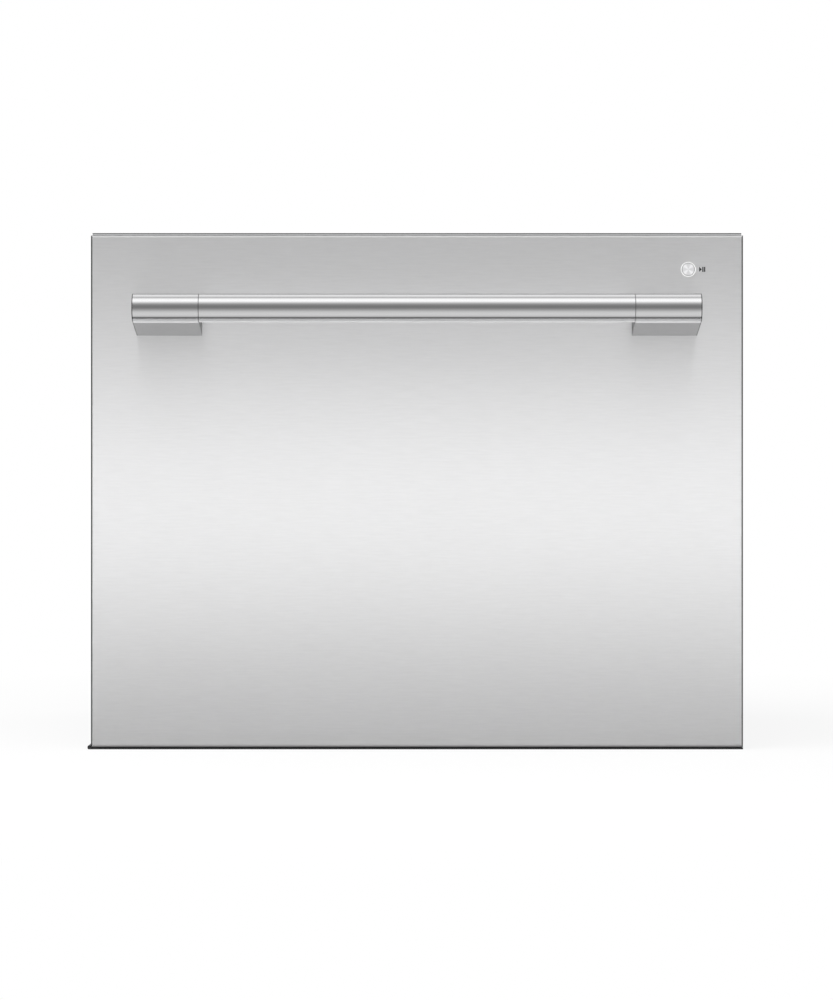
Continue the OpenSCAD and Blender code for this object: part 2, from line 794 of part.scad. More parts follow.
frame_x = front_x - skin_t - 0.6;
frame_z = [skin_z0 + skin_t + 0.6, cap_z0 - 0.4];
liner_x = front_x - 3;

// Moulded frame inside the skin, whose back plate closes the front
module front_frame() {
  y0 = skin_t + 1.1;
  rib_x = [for (i = [-3:3]) i * 71.5];
  rib_z = [for (i = [1:4]) frame_z[0] + i * (frame_z[1] - frame_z[0]) / 5];
  color([0.3, 0.31, 0.33]) difference() {
    union() {
      span([-liner_x, skin_d + 0.2, skin_z0 + 2], [liner_x, liner_y, frame_z[1]]);
      difference() {
        span([-frame_x, y0, frame_z[0]], [frame_x, skin_d + 1, frame_z[1]]);
        span([-frame_x + frame_t, 0, frame_z[0] + frame_t],
             [frame_x - frame_t, skin_d + 1.1, frame_z[1] - frame_t]);
      }
      for (x = rib_x) span([x - 1, y0 + 6, frame_z[0] + 1], [x + 1, skin_d + 1, frame_z[1] - 1]);
      for (z = rib_z) span([-frame_x + 1, y0 + 6, z - 1], [frame_x - 1, skin_d + 1, z + 1]);
      // Sleeves that the handle screws are driven through
      both_sides() for (x = screw_x) rod_y(y0 + screw_head_h + 0.6, skin_d + 1, x, bar_z - screw_drop, 9);
    }
    both_sides() for (x = screw_x) rod_y(0, liner_y + 1, x, bar_z - screw_drop, screw_head_r + 0.6);
    // Room for the button's switch
    rod_y(0, skin_d + 0.2, button_x, button_z, button_r + 5);
  }
}

module control_strip() {
  top = total_h;
  color([0.66, 0.665, 0.67]) difference() {
    union() {
      span([-cap_x, cap_y0, skin_z1], [cap_x, liner_y, top]);
      span([-cap_wall_x, cap_wall_y, cap_z0], [cap_wall_x, liner_y, skin_z1]);
    }
    // Hollow below, with a floorless box for the board
    span([-cap_wall_x + cap_wall, cap_wall_y + cap_wall, cap_z0 - 1],
         [cap_wall_x - cap_wall, liner_y - cap_wall, skin_z1 - 0.6]);
    for (x = key_x) translate([x, key_y, skin_z1 - 2]) linear_extrude(cap_show + 4)
      rrect(key_w + 2 * key_gap, key_d + 2 * key_gap, 2 + key_gap);
    translate([window_x, key_y, top - 1]) linear_extrude(2) rrect(window_w, key_d + 1, 2);
  }
}

module display_window() {
  color([0.02, 0.02, 0.025]) translate([window_x, key_y, total_h - 1]) linear_extrude(0.9)
    rrect(window_w - 0.3, key_d + 0.7, 1.85);
}

// Soft mat whose four keys stand in the strip's pockets
module keypad() {
  top = skin_z1 - 0.7;
  mat_x = [key_x[0] - 16, key_x[3] + 16];
  color([0.62, 0.62, 0.63]) union() {
    span([mat_x[0], cap_wall_y + cap_wall + 0.1, top - 1.5], [mat_x[1], liner_y - cap_wall - 0.1, top]);
    for (x = key_x) {
      translate([x, key_y, top - 0.5]) linear_extrude(total_h - 0.1 - top + 0.5) rrect(key_w, key_d, 2);
      rod_z(top - 3, top - 1, x, key_y, 2.5);
    }
  }
}

// Circuit board under the keys, with a tact switch for each
module key_board() {
  z0 = cap_z0 + 1.5;
  pcb_t = 1.6;
  switch_top = skin_z1 - 0.7 - 3 - key_travel;
  color([0.1, 0.35, 0.2]) union() {
    span([-180, cap_wall_y + cap_wall + 0.1, z0], [180, liner_y - cap_wall - 0.1, z0 + pcb_t]);
    for (x = key_x) {
      span([x - 3, key_y - 3, z0 + pcb_t], [x + 3, key_y + 3, switch_top - 1.5]);
      rod_z(switch_top - 1.6, switch_top, x, key_y, 1.6);
    }
    // Display module, right under its window
    span([window_x - 30, key_y - 4, z0 + pcb_t], [window_x + 30, key_y + 4, skin_z1 - 0.8]);
  }
}

// ---------- handle ----------

// Profile of a post, drawn in Y and Z: round round the bar, level on top, and its
// underside runs from the tangent of the bar down to the foot
// (the flats lie a hair inside the round, so that they cross it cleanly)
post_foot = [bar_reach, -post_drop];
flat_r = bar_r - 0.01;
post_tangent_a = atan2(post_foot[1], post_foot[0]) - acos(flat_r / norm(post_foot));

module post_profile() {
  translate([-bar_reach, bar_z]) union() {
    circle(r = bar_r);
    polygon([[0, 0], flat_r * [cos(post_tangent_a), sin(post_tangent_a)], post_foot,
      [bar_reach, flat_r], [0, flat_r]]);
  }
}

module handle_post() {
  color([0.75, 0.75, 0.76]) difference() {
    along_x(post_x0, post_x1) post_profile();
    rod_x(post_x0 - 1, post_x0 + spigot_len + 1, -bar_reach, bar_z, spigot_r + run_gap);
    for (x = screw_x) rod_y(-screw_sink - 2, 1, x, bar_z - screw_drop, screw_r + run_gap);
  }
}

module handle_bar() {
  color([0.75, 0.75, 0.76]) union() {
    rod_x(-post_x0 + bar_joint, post_x0 - bar_joint, -bar_reach, bar_z, bar_r);
    rod_x(-post_x0 - spigot_len, post_x0 + spigot_len, -bar_reach, bar_z, spigot_r);
  }
}

module handle_screws() {
  color("silver") both_sides() for (x = screw_x) union() {
    rod_y(-screw_sink, skin_t + 0.2, x, bar_z - screw_drop, screw_r);
    difference() {
      rod_y(skin_t, skin_t + screw_head_h, x, bar_z - screw_drop, screw_head_r);
      translate([x, skin_t + 1.4, bar_z - screw_drop]) rotate([-90, 0, 0]) cylinder(r = 2.3, h = 4, $fn = 6);
    }
  }
}

// ---------- start button ----------

module button_bezel() {
  r0 = button_r + 0.25;
  r1 = button_r + bezel_w + 0.15;
  color("silver") translate([button_x, 0, button_z]) rotate([-90, 0, 0]) rotate_extrude() union() {
    translate([r0, -0.45]) square([r1 - r0, 6]);
    translate([r0, skin_t]) square([r1 - r0 + 2.6, 1.2]);
  }
}

module start_button() {
  color("silver") translate([button_x, 0, button_z]) rotate([-90, 0, 0]) rotate_extrude() difference() {
    translate([0, -0.35]) square([button_r, 8]);
    // Shallow dish turned in the face
    translate([0, -18.1]) circle(r = 18, $fn = 96);
    translate([-button_r, -1]) square([button_r, 10]);
  }
}

module start_switch() {
  y0 = -0.35 + 8 + button_travel + 0.2;
  color([0.15, 0.15, 0.16]) union() {
    rod_y(y0, y0 + 1.2, button_x, button_z, 3);
    span([button_x - 6, y0 + 1.2, button_z - 6], [button_x + 6, skin_d - 0.2, button_z + 6]);
    span([button_x - 8, skin_d - 2.2, button_z - 8], [button_x + 8, skin_d + 0.2, button_z + 8]);
  }
}

// ---------- tub ----------

// Profile of a tray seen from one end: square at the top, rounded at the floor
module tray_end(w, h, r) {
  translate([-w / 2, r]) square([w, h - r]);
  translate([-w / 2 + r, 0]) square([w - 2 * r, r]);
  for (s = [-1, 1]) translate([s * (w / 2 - r), r]) circle(r = r);
}

// A tray solid with upright corners of radius rc and a floor edge of radius rb
module tray(w, d, h, rc, rb) {
  foot = 1.5 * rb;
  translate([0, 0, rb]) linear_extrude(h - rb) rrect(w, d, rc);
  along_x(-w / 2 + rc, w / 2 - rc) tray_end(d, foot, rb);
  along_y(-d / 2 + rc, d / 2 - rc) tray_end(w, foot, rb);
  for (sx = [-1, 1], sy = [-1, 1])
    translate([sx * (w / 2 - rc), sy * (d / 2 - rc), 0]) rotate_extrude() intersection() {
      tray_end(2 * rc, foot, rb);
      square([rc, foot]);
    }
}

boss_x = [-190, 0, 190];
boss_z = [bay_h + 60, bay_h + 190];

module tub() {
  w = 2 * tub_x;
  h = rim_z - bay_h;
  rim_t = 4;
  rim_dep = rim_y1 - rim_y0;
  rim_yc = (rim_y0 + rim_y1) / 2;
  color([0.6, 0.61, 0.63]) difference() {
    union() {
      translate([0, tub_yc, bay_h]) tray(w, tub_dep, h - 1, tub_corner, tub_foot_r);
      // Rim that the lid seals on, with its down-turned edge
      translate([0, rim_yc, rim_z - rim_t]) linear_extrude(rim_t) rrect(2 * rim_x, rim_dep, tub_corner + 8);
      difference() {
        translate([0, rim_yc, rim_z - 12]) linear_extrude(9) rrect(2 * rim_x, rim_dep, tub_corner + 8);
        translate([0, rim_yc, rim_z - 13]) linear_extrude(11)
          rrect(2 * rim_x - 5, rim_dep - 5, tub_corner + 5.5);
      }
      // Ribs that stiffen the walls above and below the runners
      for (z = [rim_z - 60, rim_z - 100]) translate([0, tub_yc, z]) linear_extrude(3)
        rrect(w + 10, tub_dep + 10, tub_corner + 5);
      rod_z(sump_z - tub_wall, tub_floor, 0, tub_yc, sump_r + tub_wall);
      // Bosses that the front is screwed to
      for (x = boss_x, z = boss_z) rod_y(liner_y, tub_y0 + 1, x, z, 8);
    }
    translate([0, tub_yc, tub_floor]) tray(w - 2 * tub_wall, tub_dep - 2 * tub_wall, h + 10,
      tub_corner - tub_wall, tub_foot_r - tub_wall);
    rod_z(sump_z, tub_floor + 10, 0, tub_yc, sump_r);
    rod_z(sump_z - 10, tub_floor, 0, tub_yc, 6);
    for (x = boss_x, z = boss_z) rod_y(liner_y - 1, tub_y0 - 4, x, z, 2.6);
  }
}

// Folded brackets that carry the tub on the runners' inner members
module runner_brackets() {
  x0 = tub_x;
  x1 = cab_in_x - inner_u[1];
  y = [runner_y0 + 20, tub_y1 - tub_corner - 8];
  h = inner_v;
  t = 2;
  color("silver") both_sides() along_y(y[0] + 20, y[1]) translate([0, runner_z]) union() {
    translate([x1 - t, -h]) square([t, 2 * h]);
    for (s = [-1, 1]) translate([x0, s * (h - t / 2) - t / 2]) square([x1 - x0, t]);
    for (s = [0, 1]) mirror([0, s]) translate([x0, h - t]) square([t, 14]);
  }
}

module motor_housing() {
  z0 = 22;
  z1 = sump_z - tub_wall - 0.2;
  leg_r = 66;
  color([0.18, 0.18, 0.19]) difference() {
    union() {
      rod_z(z0, z1, 0, tub_yc, 58);
      rod_z(z0 - 6, z0, 0, tub_yc, 30);
      for (a = [0:18:342])
        translate([0, tub_yc, z0 + 6]) rotate(a) span([50, -1.2, 0], [61, 1.2, z1 - z0 - 12]);
      for (a = [60:120:300]) translate([0, tub_yc, 0]) rotate(a) {
        span([48, -6, z1 - 12], [leg_r, 6, z1 - 4]);
        rod_z(z1 - 12, bay_h, leg_r, 0, 6);
      }
    }
    rod_z(z0 + 10, z1 + 1, 0, tub_yc, 4 + run_gap);
  }
}

module wash_rotor() {
  z0 = sump_z + 2;
  h = 20;
  blade = [for (i = [0:6]) let (t = i / 6) (11 + 31 * t) * [cos(52 * t), sin(52 * t)]];
  color("ivory") translate([0, tub_yc, 0]) union() {
    rod_z(34, z0 + 1, 0, 0, 4);
    rod_z(z0, z0 + 2, 0, 0, 44);
    translate([0, 0, z0]) rotate_extrude() polygon([[0, 0], [14, 0], [12, h * 0.6], [7, h], [0, h]]);
    for (k = [0:blades - 1]) rotate(k * 360 / blades) translate([0, 0, z0 + 1]) linear_extrude(h - 6)
      polygon(concat(blade, [for (i = [6:-1:0]) let (p = blade[i]) p + 2 * [-p[1], p[0]] / norm(p)]));
  }
}

module heater_ring() {
  color([0.66, 0.64, 0.6]) difference() {
    union() {
      rod_z(tub_floor, tub_floor + 2, 0, tub_yc, 80);
      translate([0, tub_yc, tub_floor + 1.2]) rotate_extrude() translate([68, 0]) circle(r = 2.6);
    }
    rod_z(tub_floor - 5, tub_floor + 0, 0, tub_yc, 90);
    rod_z(tub_floor - 1, tub_floor + 5, 0, tub_yc, sump_r + 6);
  }
}

module filter_plate() {
  r_in = spindle_r - 2.5;
  hole_rings = [[36, 16], [50, 22], [90, 36], [106, 44], [122, 50]];
  color([0.7, 0.71, 0.72]) difference() {
    union() {
      rod_z(plate_z, plate_z + plate_t, 0, tub_yc, filter_r);
      difference() {
        rod_z(tub_floor, plate_z + 1, 0, tub_yc, filter_r);
        rod_z(tub_floor - 1, plate_z, 0, tub_yc, filter_r - 2.5);
      }
      rod_z(plate_z, arm_z - run_gap, 0, tub_yc, 20);
      rod_z(plate_z, arm_top + 1.5, 0, tub_yc, spindle_r);
    }
    rod_z(plate_z - 1, arm_top + 3, 0, tub_yc, r_in);
    rod_z(plate_z - 1, plate_z + 9, drain_x, drain_y, drain_r + slack);
    for (ring = hole_rings, i = [0:ring[1] - 1])
      let (x = ring[0] * cos(i * 360 / ring[1]), y = tub_yc + ring[0] * sin(i * 360 / ring[1]))
        if (norm([x - drain_x, y - drain_y]) > drain_r + 7)
          rod_z(plate_z - 1, plate_z + plate_t + 1, x, y, 2.2);
  }
}

// Cup-shaped drain filter, turned by the bar across its top
module drain_filter() {
  z0 = tub_floor + 0.4;
  z1 = plate_z + plate_t + 0.15;
  color([0.35, 0.4, 0.5]) union() {
    difference() {
      union() {
        rod_z(z0, z1, drain_x, drain_y, drain_r);
        rod_z(z1, z1 + 1.2, drain_x, drain_y, drain_r + 3);
      }
      rod_z(z0 + 1.5, z1 + 5, drain_x, drain_y, drain_r - 2);
      for (a = [0:30:330]) translate([drain_x, drain_y, z0 - 1]) rotate(a) translate([13, 0, 0])
        cylinder(r = 2, h = 4);
    }
    translate([drain_x, drain_y, z1]) rotate(25) span([-drain_r + 0.5, -2.5, -1], [drain_r - 0.5, 2.5, 3]);
  }
}

// Half width of a wing of the spray arm at a share t of its length
function wing_half(t) = 27 - 12 * t + 3 * sin(180 * t);
function sweep(t) = 16 * sin(180 * t) * (1 - t);
wing_steps = 14;
wing_len = arm_r - wing_half(1);

module wing_outline() {
  polygon(concat(
    [for (i = [0:wing_steps]) let (t = i / wing_steps) [t * wing_len, sweep(t) - wing_half(t)]],
    [for (i = [wing_steps:-1:0]) let (t = i / wing_steps) [t * wing_len, sweep(t) + wing_half(t)]]));
  translate([wing_len, 0]) circle(r = wing_half(1));
}

module spray_arm() {
  crown_r = 62;
  wing_z0 = arm_z + 5;
  wing_t = 13;
  color([0.55, 0.56, 0.58]) translate([0, tub_yc, 0]) rotate(32) difference() {
    union() {
      intersection() {
        translate([0, 0, wing_z0]) linear_extrude(wing_t + 2) union() {
          wing_outline();
          rotate(180) wing_outline();
        }
        rod_x(-arm_r - 1, arm_r + 1, 0, wing_z0 + wing_t - crown_r, crown_r);
      }
      translate([0, 0, arm_z]) rotate_extrude() polygon(concat(
        [[0, 0], [24, 0], [34, 5]],
        [for (i = [0:6]) [34 * cos(i * 10), 8 + 12 * sin(i * 10) / sin(60)]],
        [[14, arm_hub_h], [0, arm_hub_h]]));
    }
    rod_z(arm_z - 1, arm_top + 1, 0, 0, spindle_r + run_gap);
    // Jets, alternately round and slotted
    for (side = [0, 180]) rotate(side) for (i = [0:jets - 1])
      let (t = 0.24 + 0.7 * i / (jets - 1))
        translate([t * wing_len, sweep(t) * 0.9 + (i % 2 == 0 ? 5 : -5), wing_z0 + 3])
          rotate(i * 35) linear_extrude(wing_t) pill(i % 2 == 0 ? 8 : 5.2, 1.3);
  }
}

module spray_arm_cap() {
  color([0.3, 0.31, 0.33]) difference() {
    translate([0, tub_yc, arm_top + 0.3]) rotate_extrude()
      polygon([[0, 0], [14, 0], [14, 2.4], [11, 5.2], [0, 5.8]]);
    rod_z(arm_top, arm_top + 1.8, 0, tub_yc, spindle_r + run_gap);
    for (a = [0:60:300]) translate([0, tub_yc, 0]) rotate(a) rod_z(arm_top, arm_top + 8, 15.4, 0, 2.6);
  }
}

module controller_box() {
  x = [ctrl_x, ctrl_x + ctrl_size[0]];
  y = [tub_y0 + 34, tub_y0 + 34 + ctrl_size[1]];
  z = [bay_h - 18 - ctrl_size[2], bay_h - 18];
  color([0.86, 0.86, 0.84]) union() {
    translate([(x[0] + x[1]) / 2, (y[0] + y[1]) / 2, z[0]]) linear_extrude(z[1] - z[0] - 4)
      rrect(x[1] - x[0], y[1] - y[0], 5);
    translate([(x[0] + x[1]) / 2, (y[0] + y[1]) / 2, z[1] - 4]) linear_extrude(4)
      rrect(x[1] - x[0] + 6, y[1] - y[0] + 6, 7);
    for (px = [x[0] + 12, x[1] - 12], py = [y[0] + 12, y[1] - 12]) rod_z(z[1] - 1, bay_h, px, py, 5);
    for (i = [0:4]) span([x[0] + 20 + i * 26, y[1] + 1, z[0] + 8], [x[0] + 34 + i * 26, y[1] + 6, z[0] + 22]);
    span([x[0] + 14, y[1] - 1, z[0] + 6], [x[1] - 14, y[1] + 2, z[0] + 24]);
  }
}

// ---------- dispenser ----------

module detergent_dispenser() {
  zc = disp_z + disp_h / 2;
  y1 = disp_y + disp_d;
  color([0.78, 0.79, 0.8]) difference() {
    union() {
      along_y(disp_y, y1 - 4) translate([0, zc]) rrect(disp_w, disp_h, 12);
      along_y(disp_y, y1) translate([0, zc]) rrect(disp_w - 10, disp_h - 10, 9);
      // Ears that hold the flap's pin
      for (x = [flap_x - flap_w / 2 + 6, flap_x + flap_w / 2 - 6])
        span([x - 2.5, y1 - 1, flap_z - 3.5], [x + 2.5, y1 + 5, flap_z + 2.5]);
    }
    // Detergent cup
    along_y(disp_y + 3, y1 + 1) translate([flap_x, flap_z + 6 + (flap_h - 10) / 2])
      rrect(flap_w - 12, flap_h - 12, 7);
    // Seat of the rinse aid cap
    rod_y(y1 - 5, y1 + 1, cap_dial_x, zc, cap_dial_r + slack);
    rod_y(disp_y + 6, y1, cap_dial_x, zc, 8 + slack);
    // Level window
    rod_y(y1 - 1.2, y1 + 1, cap_dial_x, disp_z + 14, 4.5);
    for (x = [flap_x - flap_w / 2 + 6, flap_x + flap_w / 2 - 6])
      rod_x(x - 3, x + 3, y1 + 2.5, flap_z - 0.5, 1.6 + run_gap);
  }
}

// Flap over the detergent cup; its pin runs through the dispenser's ears
module detergent_flap() {
  y0 = disp_y + disp_d + 1;
  z0 = flap_z - 0.5;
  pin_y = disp_y + disp_d + 2.5;
  ear_x = flap_w / 2 - 6;
  color([0.72, 0.73, 0.75]) union() {
    difference() {
      along_y(y0, y0 + flap_t) translate([flap_x, z0 + 1 + (flap_h - 2) / 2]) rrect(flap_w, flap_h - 2, 5);
      // Clear of the ears
      for (x = [flap_x - ear_x, flap_x + ear_x]) span([x - 3.4, y0 - 1, z0 - 5], [x + 3.4, y0 + 6, z0 + 7]);
    }
    along_y(y0 + flap_t - 0.1, y0 + flap_t + 3) translate([flap_x, z0 + flap_h - 9]) pill(26, 3);
    rod_x(flap_x - ear_x - 2.4, flap_x + ear_x + 2.4, pin_y, z0, 1.6);
    span([flap_x - ear_x + 3.4, y0, z0 - 0.6], [flap_x + ear_x - 3.4, y0 + flap_t, z0 + 4]);
  }
}

module rinse_aid_cap() {
  zc = disp_z + disp_h / 2;
  y1 = disp_y + disp_d;
  color([0.2, 0.35, 0.6]) union() {
    rod_y(y1 - 4.9, y1 + 1.5, cap_dial_x, zc, cap_dial_r);
    rod_y(y1 - 10, y1 - 4, cap_dial_x, zc, 8);
    along_y(y1 + 1.4, y1 + 7) translate([cap_dial_x, zc]) pill(29, 3.4);
  }
}

// ---------- basket ----------

module basket_floor() {
  color([0.62, 0.64, 0.67]) {
    for (y = cross_y) rod_x(-basket_x + bend_r, basket_x - bend_r, y, basket_z, wire_r);
    for (x = long_x) rod_y(basket_y[0] + bend_r, basket_y[1] - bend_r, x, top_wire_z, wire_r);
  }
}

// An upright with the bend that joins it to a floor wire: foot at the origin, bend towards +X
module upright(h) {
  union() {
    translate([0, 0, bend_r]) rotate([90, 0, 0]) rotate(270) rotate_extrude(angle = 90)
      translate([bend_r, 0]) circle(r = wire_r);
    translate([bend_r, 0, bend_r]) cylinder(r = wire_r, h = h - bend_r);
  }
}

module basket_uprights() {
  h_side = cup_z - 0.6 - basket_z;
  h_end = rim_wire_z - 2 - top_wire_z;
  color([0.62, 0.64, 0.67]) {
    both_sides() for (y = cross_y) translate([basket_x - bend_r, y, basket_z]) upright(h_side);
    for (x = long_x) {
      translate([x, basket_y[1] - bend_r, top_wire_z]) rotate(90) upright(h_end);
      translate([x, basket_y[0] + bend_r, top_wire_z]) rotate(-90) upright(h_end);
    }
  }
}

// A closed wire loop round the basket, lying against the outside of its uprights
module wire_loop(z, r) {
  out = wire_r + r + wire_gap;
  x = basket_x + out;
  y = [basket_y[0] - out, basket_y[1] + out];
  c = 20;
  union() {
    for (s = [-1, 1]) rod_y(y[0] + c, y[1] - c, s * x, z, r);
    for (yy = y) rod_x(-x + c, x - c, yy, z, r);
    for (k = [[1, 1, 0], [-1, 1, 90], [-1, 0, 180], [1, 0, 270]])
      translate([k[0] * (x - c), k[1] == 1 ? y[1] - c : y[0] + c, z]) rotate(k[2])
        rotate_extrude(angle = 90) translate([c, 0]) circle(r = r);
  }
}

module basket_rims() {
  color([0.62, 0.64, 0.67]) {
    wire_loop(rim_wire_z, rim_wire_r);
    wire_loop(low_rim_z, wire_r);
  }
}

module fixed_tines() {
  tip = 0.8;
  color([0.62, 0.64, 0.67]) for (x = [-long_pitch, 0, long_pitch], y = tine_y)
    translate([x, y, wire_top + wire_gap]) union() {
      cylinder(r = tine_r, h = short_tine_h);
      translate([0, 0, short_tine_h]) cylinder(r1 = tine_r, r2 = tine_r - tip, h = tip);
    }
}

// Clips that hold the folding rows' rods on the floor wires
module tine_clips() {
  color([0.3, 0.31, 0.33]) both_sides() for (y = clip_y) difference() {
    along_y(y - clip_w / 2, y + clip_w / 2) translate([fold_x, (top_wire_z - 1 + fold_z + 5) / 2])
      rrect(12, fold_z + 5 - top_wire_z + 1, 3);
    rod_y(y - clip_w, y + clip_w, fold_x, fold_z, fold_rod_r + run_gap);
    rod_y(y - clip_w, y + clip_w, fold_x, top_wire_z, wire_r + run_gap);
  }
}

// A folding row: its rod and the tines that stand on it
module fold_row() {
  color([0.62, 0.64, 0.67]) {
    rod_y(clip_y[0] - 9, clip_y[2] + 9, fold_x, fold_z, fold_rod_r);
    for (y = tine_y) translate([fold_x, y, fold_z + fold_rod_r + wire_gap]) union() {
      cylinder(r = tine_r, h = tine_h);
      translate([0, 0, tine_h]) cylinder(r1 = tine_r, r2 = tine_r - 0.8, h = 0.8);
    }
  }
}

module basket_feet() {
  color([0.3, 0.31, 0.33]) both_sides() for (y = [cross_y[0], cross_y[cross_n - 1]]) difference() {
    rod_z(tub_floor, basket_z + 1, basket_x - 34, y, 8);
    rod_x(basket_x - 50, basket_x - 20, y, basket_z, wire_r + run_gap);
  }
}

cutlery_x = 78;
cutlery_d = 74;
cutlery_h = 118;
cutlery_y = [basket_y[0] + bend_r + 1, basket_y[0] + bend_r + 1 + cutlery_d];
cutlery_z = [wire_top + 0.15, wire_top + cutlery_h];

module cutlery_basket() {
  w = 2 * cutlery_x;
  d = cutlery_y[1] - cutlery_y[0];
  yc = (cutlery_y[0] + cutlery_y[1]) / 2;
  z0 = cutlery_z[0];
  z1 = cutlery_z[1];
  t = 2.2;
  bar_top = z1 + 30;
  color([0.5, 0.52, 0.55]) difference() {
    union() {
      difference() {
        translate([0, yc, z0]) linear_extrude(z1 - z0) rrect(w, d, 10);
        for (i = [-1:1]) translate([i * (w - t) / 3, yc, z0 + t]) linear_extrude(z1 - z0)
          rrect((w - 4 * t) / 3, d - 2 * t, 7);
      }
      translate([0, yc, z1 - 4]) linear_extrude(4) difference() {
        rrect(w + 4, d + 4, 12);
        rrect(w - 2 * t, d - 2 * t, 8);
      }
      // Carrying handle
      along_y(yc - 3, yc + 3) difference() {
        translate([0, (z1 - 20 + bar_top) / 2]) rrect(66, bar_top - z1 + 20, 12);
        translate([0, (z1 - 20 + bar_top) / 2 - 9]) rrect(46, bar_top - z1 + 14, 7);
      }
    }
    // Slots through the long walls
    for (i = [-5:5], k = [0, 1]) if (abs(i) != 2)
      along_y(cutlery_y[0] - 3, cutlery_y[1] + 3)
        translate([i * 13, z0 + 30 + k * 48]) rotate(90) pill(36, 2.6);
    // Drain holes in the floor
    for (i = [-5:5], j = [-2:2]) rod_z(z0 - 1, z0 + t + 1, i * 13, yc + j * 13, 2.6);
  }
}

module cup_rack() {
  x1 = rim_dx + 1.4;
  x0 = rim_dx - cup_depth;
  yc = (cup_y[0] + cup_y[1]) / 2;
  l = cup_y[1] - cup_y[0];
  slot_n = 12;
  color([0.5, 0.52, 0.55]) difference() {
    union() {
      translate([(x0 + x1) / 2, yc, cup_z]) linear_extrude(cup_t) rrect(x1 - x0, l, 9);
      // Raised edge that stops cups from sliding off
      translate([(x0 + x1) / 2, yc, cup_z]) linear_extrude(cup_t + 5) difference() {
        rrect(x1 - x0, l, 9);
        rrect(x1 - x0 - 6, l - 6, 6);
      }
      for (y = cup_clip_y) rod_y(y - cup_clip_w / 2, y + cup_clip_w / 2, rim_dx, rim_wire_z, clip_r);
    }
    // Slots across the rack, in three columns
    for (i = [0:slot_n - 1], k = [0:2])
      translate([x0 + 23 + k * 31, cup_y[0] + 20 + i * (l - 40) / (slot_n - 1), cup_z - 1])
        linear_extrude(cup_t + 3) pill(25, 6);
    for (y = cup_clip_y) {
      rod_y(y - cup_clip_w, y + cup_clip_w, rim_dx, rim_wire_z, rim_wire_r + run_gap);
      // Mouth of the clip
      span([rim_dx, y - cup_clip_w, rim_wire_z - clip_r - 1],
           [rim_dx + clip_r + 2, y + cup_clip_w, rim_wire_z - 1.2]);
    }
  }
}

// ---------- nodes ----------

place() base_tray();
place() left_hand() side_panel();  // side_panel_left
place() side_panel();  // side_panel_right
place() rear_panel();
place() top_panel();
place() front_rail();
place() base_skids();
place() drip_strip();
place() door_gasket();
place() cabinet_screws();
place() both_sides() runner_outer();  // runner_outer_pair
place() both_sides() lid_actuator();  // lid_actuators
place() inlet_valve();
place() drain_outlet();
place() power_box();
place() lid();
place() lid_seal();
place() lid_yokes();
place() lid_pinions();
place() both_sides() runner_mid();  // runner_middle_pair
place() ball_cages(big_ball_v, big_ball_r);  // ball_cages_outer
place() ball_cages(small_ball_v, small_ball_r);  // ball_cages_inner
place() front_skin();
place() front_frame();
place() control_strip();
place() display_window();
place() key_board();
place() keypad();
place() handle_bar();
place() left_hand() handle_post();  // handle_post_left
place() handle_post();  // handle_post_right
place() handle_screws();
place() button_bezel();
place() start_switch();
place() start_button();
place() tub();
place() both_sides() runner_inner();  // runner_inner_pair
place() runner_brackets();
place() motor_housing();
place() wash_rotor();
place() heater_ring();
place() filter_plate();
place() drain_filter();
place() spray_arm();
place() spray_arm_cap();
place() controller_box();
place() detergent_dispenser();
place() detergent_flap();
place() rinse_aid_cap();
place() basket_floor();
place() basket_uprights();
place() basket_rims();
place() basket_feet();
place() fixed_tines();
place() tine_clips();
place() left_hand() fold_row();  // folding_tines_left
place() fold_row();  // folding_tines_right
place() cutlery_basket();
place() left_hand() cup_rack();  // cup_rack_left
place() cup_rack();  // cup_rack_right
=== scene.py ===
"""A dishwasher drawer: the finish of its pieces, its printed signs, and the studio that it stands in."""

import json
import math
from functools import partial

import bmesh
import bpy
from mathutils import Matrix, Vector


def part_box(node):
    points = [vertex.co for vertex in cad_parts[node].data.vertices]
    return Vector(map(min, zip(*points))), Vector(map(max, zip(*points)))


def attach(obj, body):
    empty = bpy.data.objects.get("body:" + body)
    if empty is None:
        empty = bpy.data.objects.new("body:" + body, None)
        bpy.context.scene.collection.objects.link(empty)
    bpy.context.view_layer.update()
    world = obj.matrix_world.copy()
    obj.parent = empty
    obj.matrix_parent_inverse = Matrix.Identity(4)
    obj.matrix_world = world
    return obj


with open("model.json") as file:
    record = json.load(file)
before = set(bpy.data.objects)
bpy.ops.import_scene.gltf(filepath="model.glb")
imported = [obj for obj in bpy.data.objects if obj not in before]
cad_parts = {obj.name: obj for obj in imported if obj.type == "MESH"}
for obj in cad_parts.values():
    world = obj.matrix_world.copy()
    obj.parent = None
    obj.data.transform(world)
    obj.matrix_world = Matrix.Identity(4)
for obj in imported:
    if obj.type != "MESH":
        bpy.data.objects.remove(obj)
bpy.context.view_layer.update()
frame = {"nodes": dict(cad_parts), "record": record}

NODES = frame["nodes"]
MM = 0.001

FRONT_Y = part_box("front_skin")[0].y
HANDLE_POSTS = ["handle_post_left", "handle_post_right"]
FRONT_PIECES = ["front_skin", "button_bezel", "start_button"]

# Camera: level, square on to the front, far enough away for the view's slight perspective.
CAMERA_X = -0.41 * MM
CAMERA_Z = 228.95 * MM
CAMERA_DISTANCE = 3277 * MM
CAMERA_REACH = 60
SENSOR = 36.0
LENS = 128.5


# ---------------------------------------------------------------- node trees

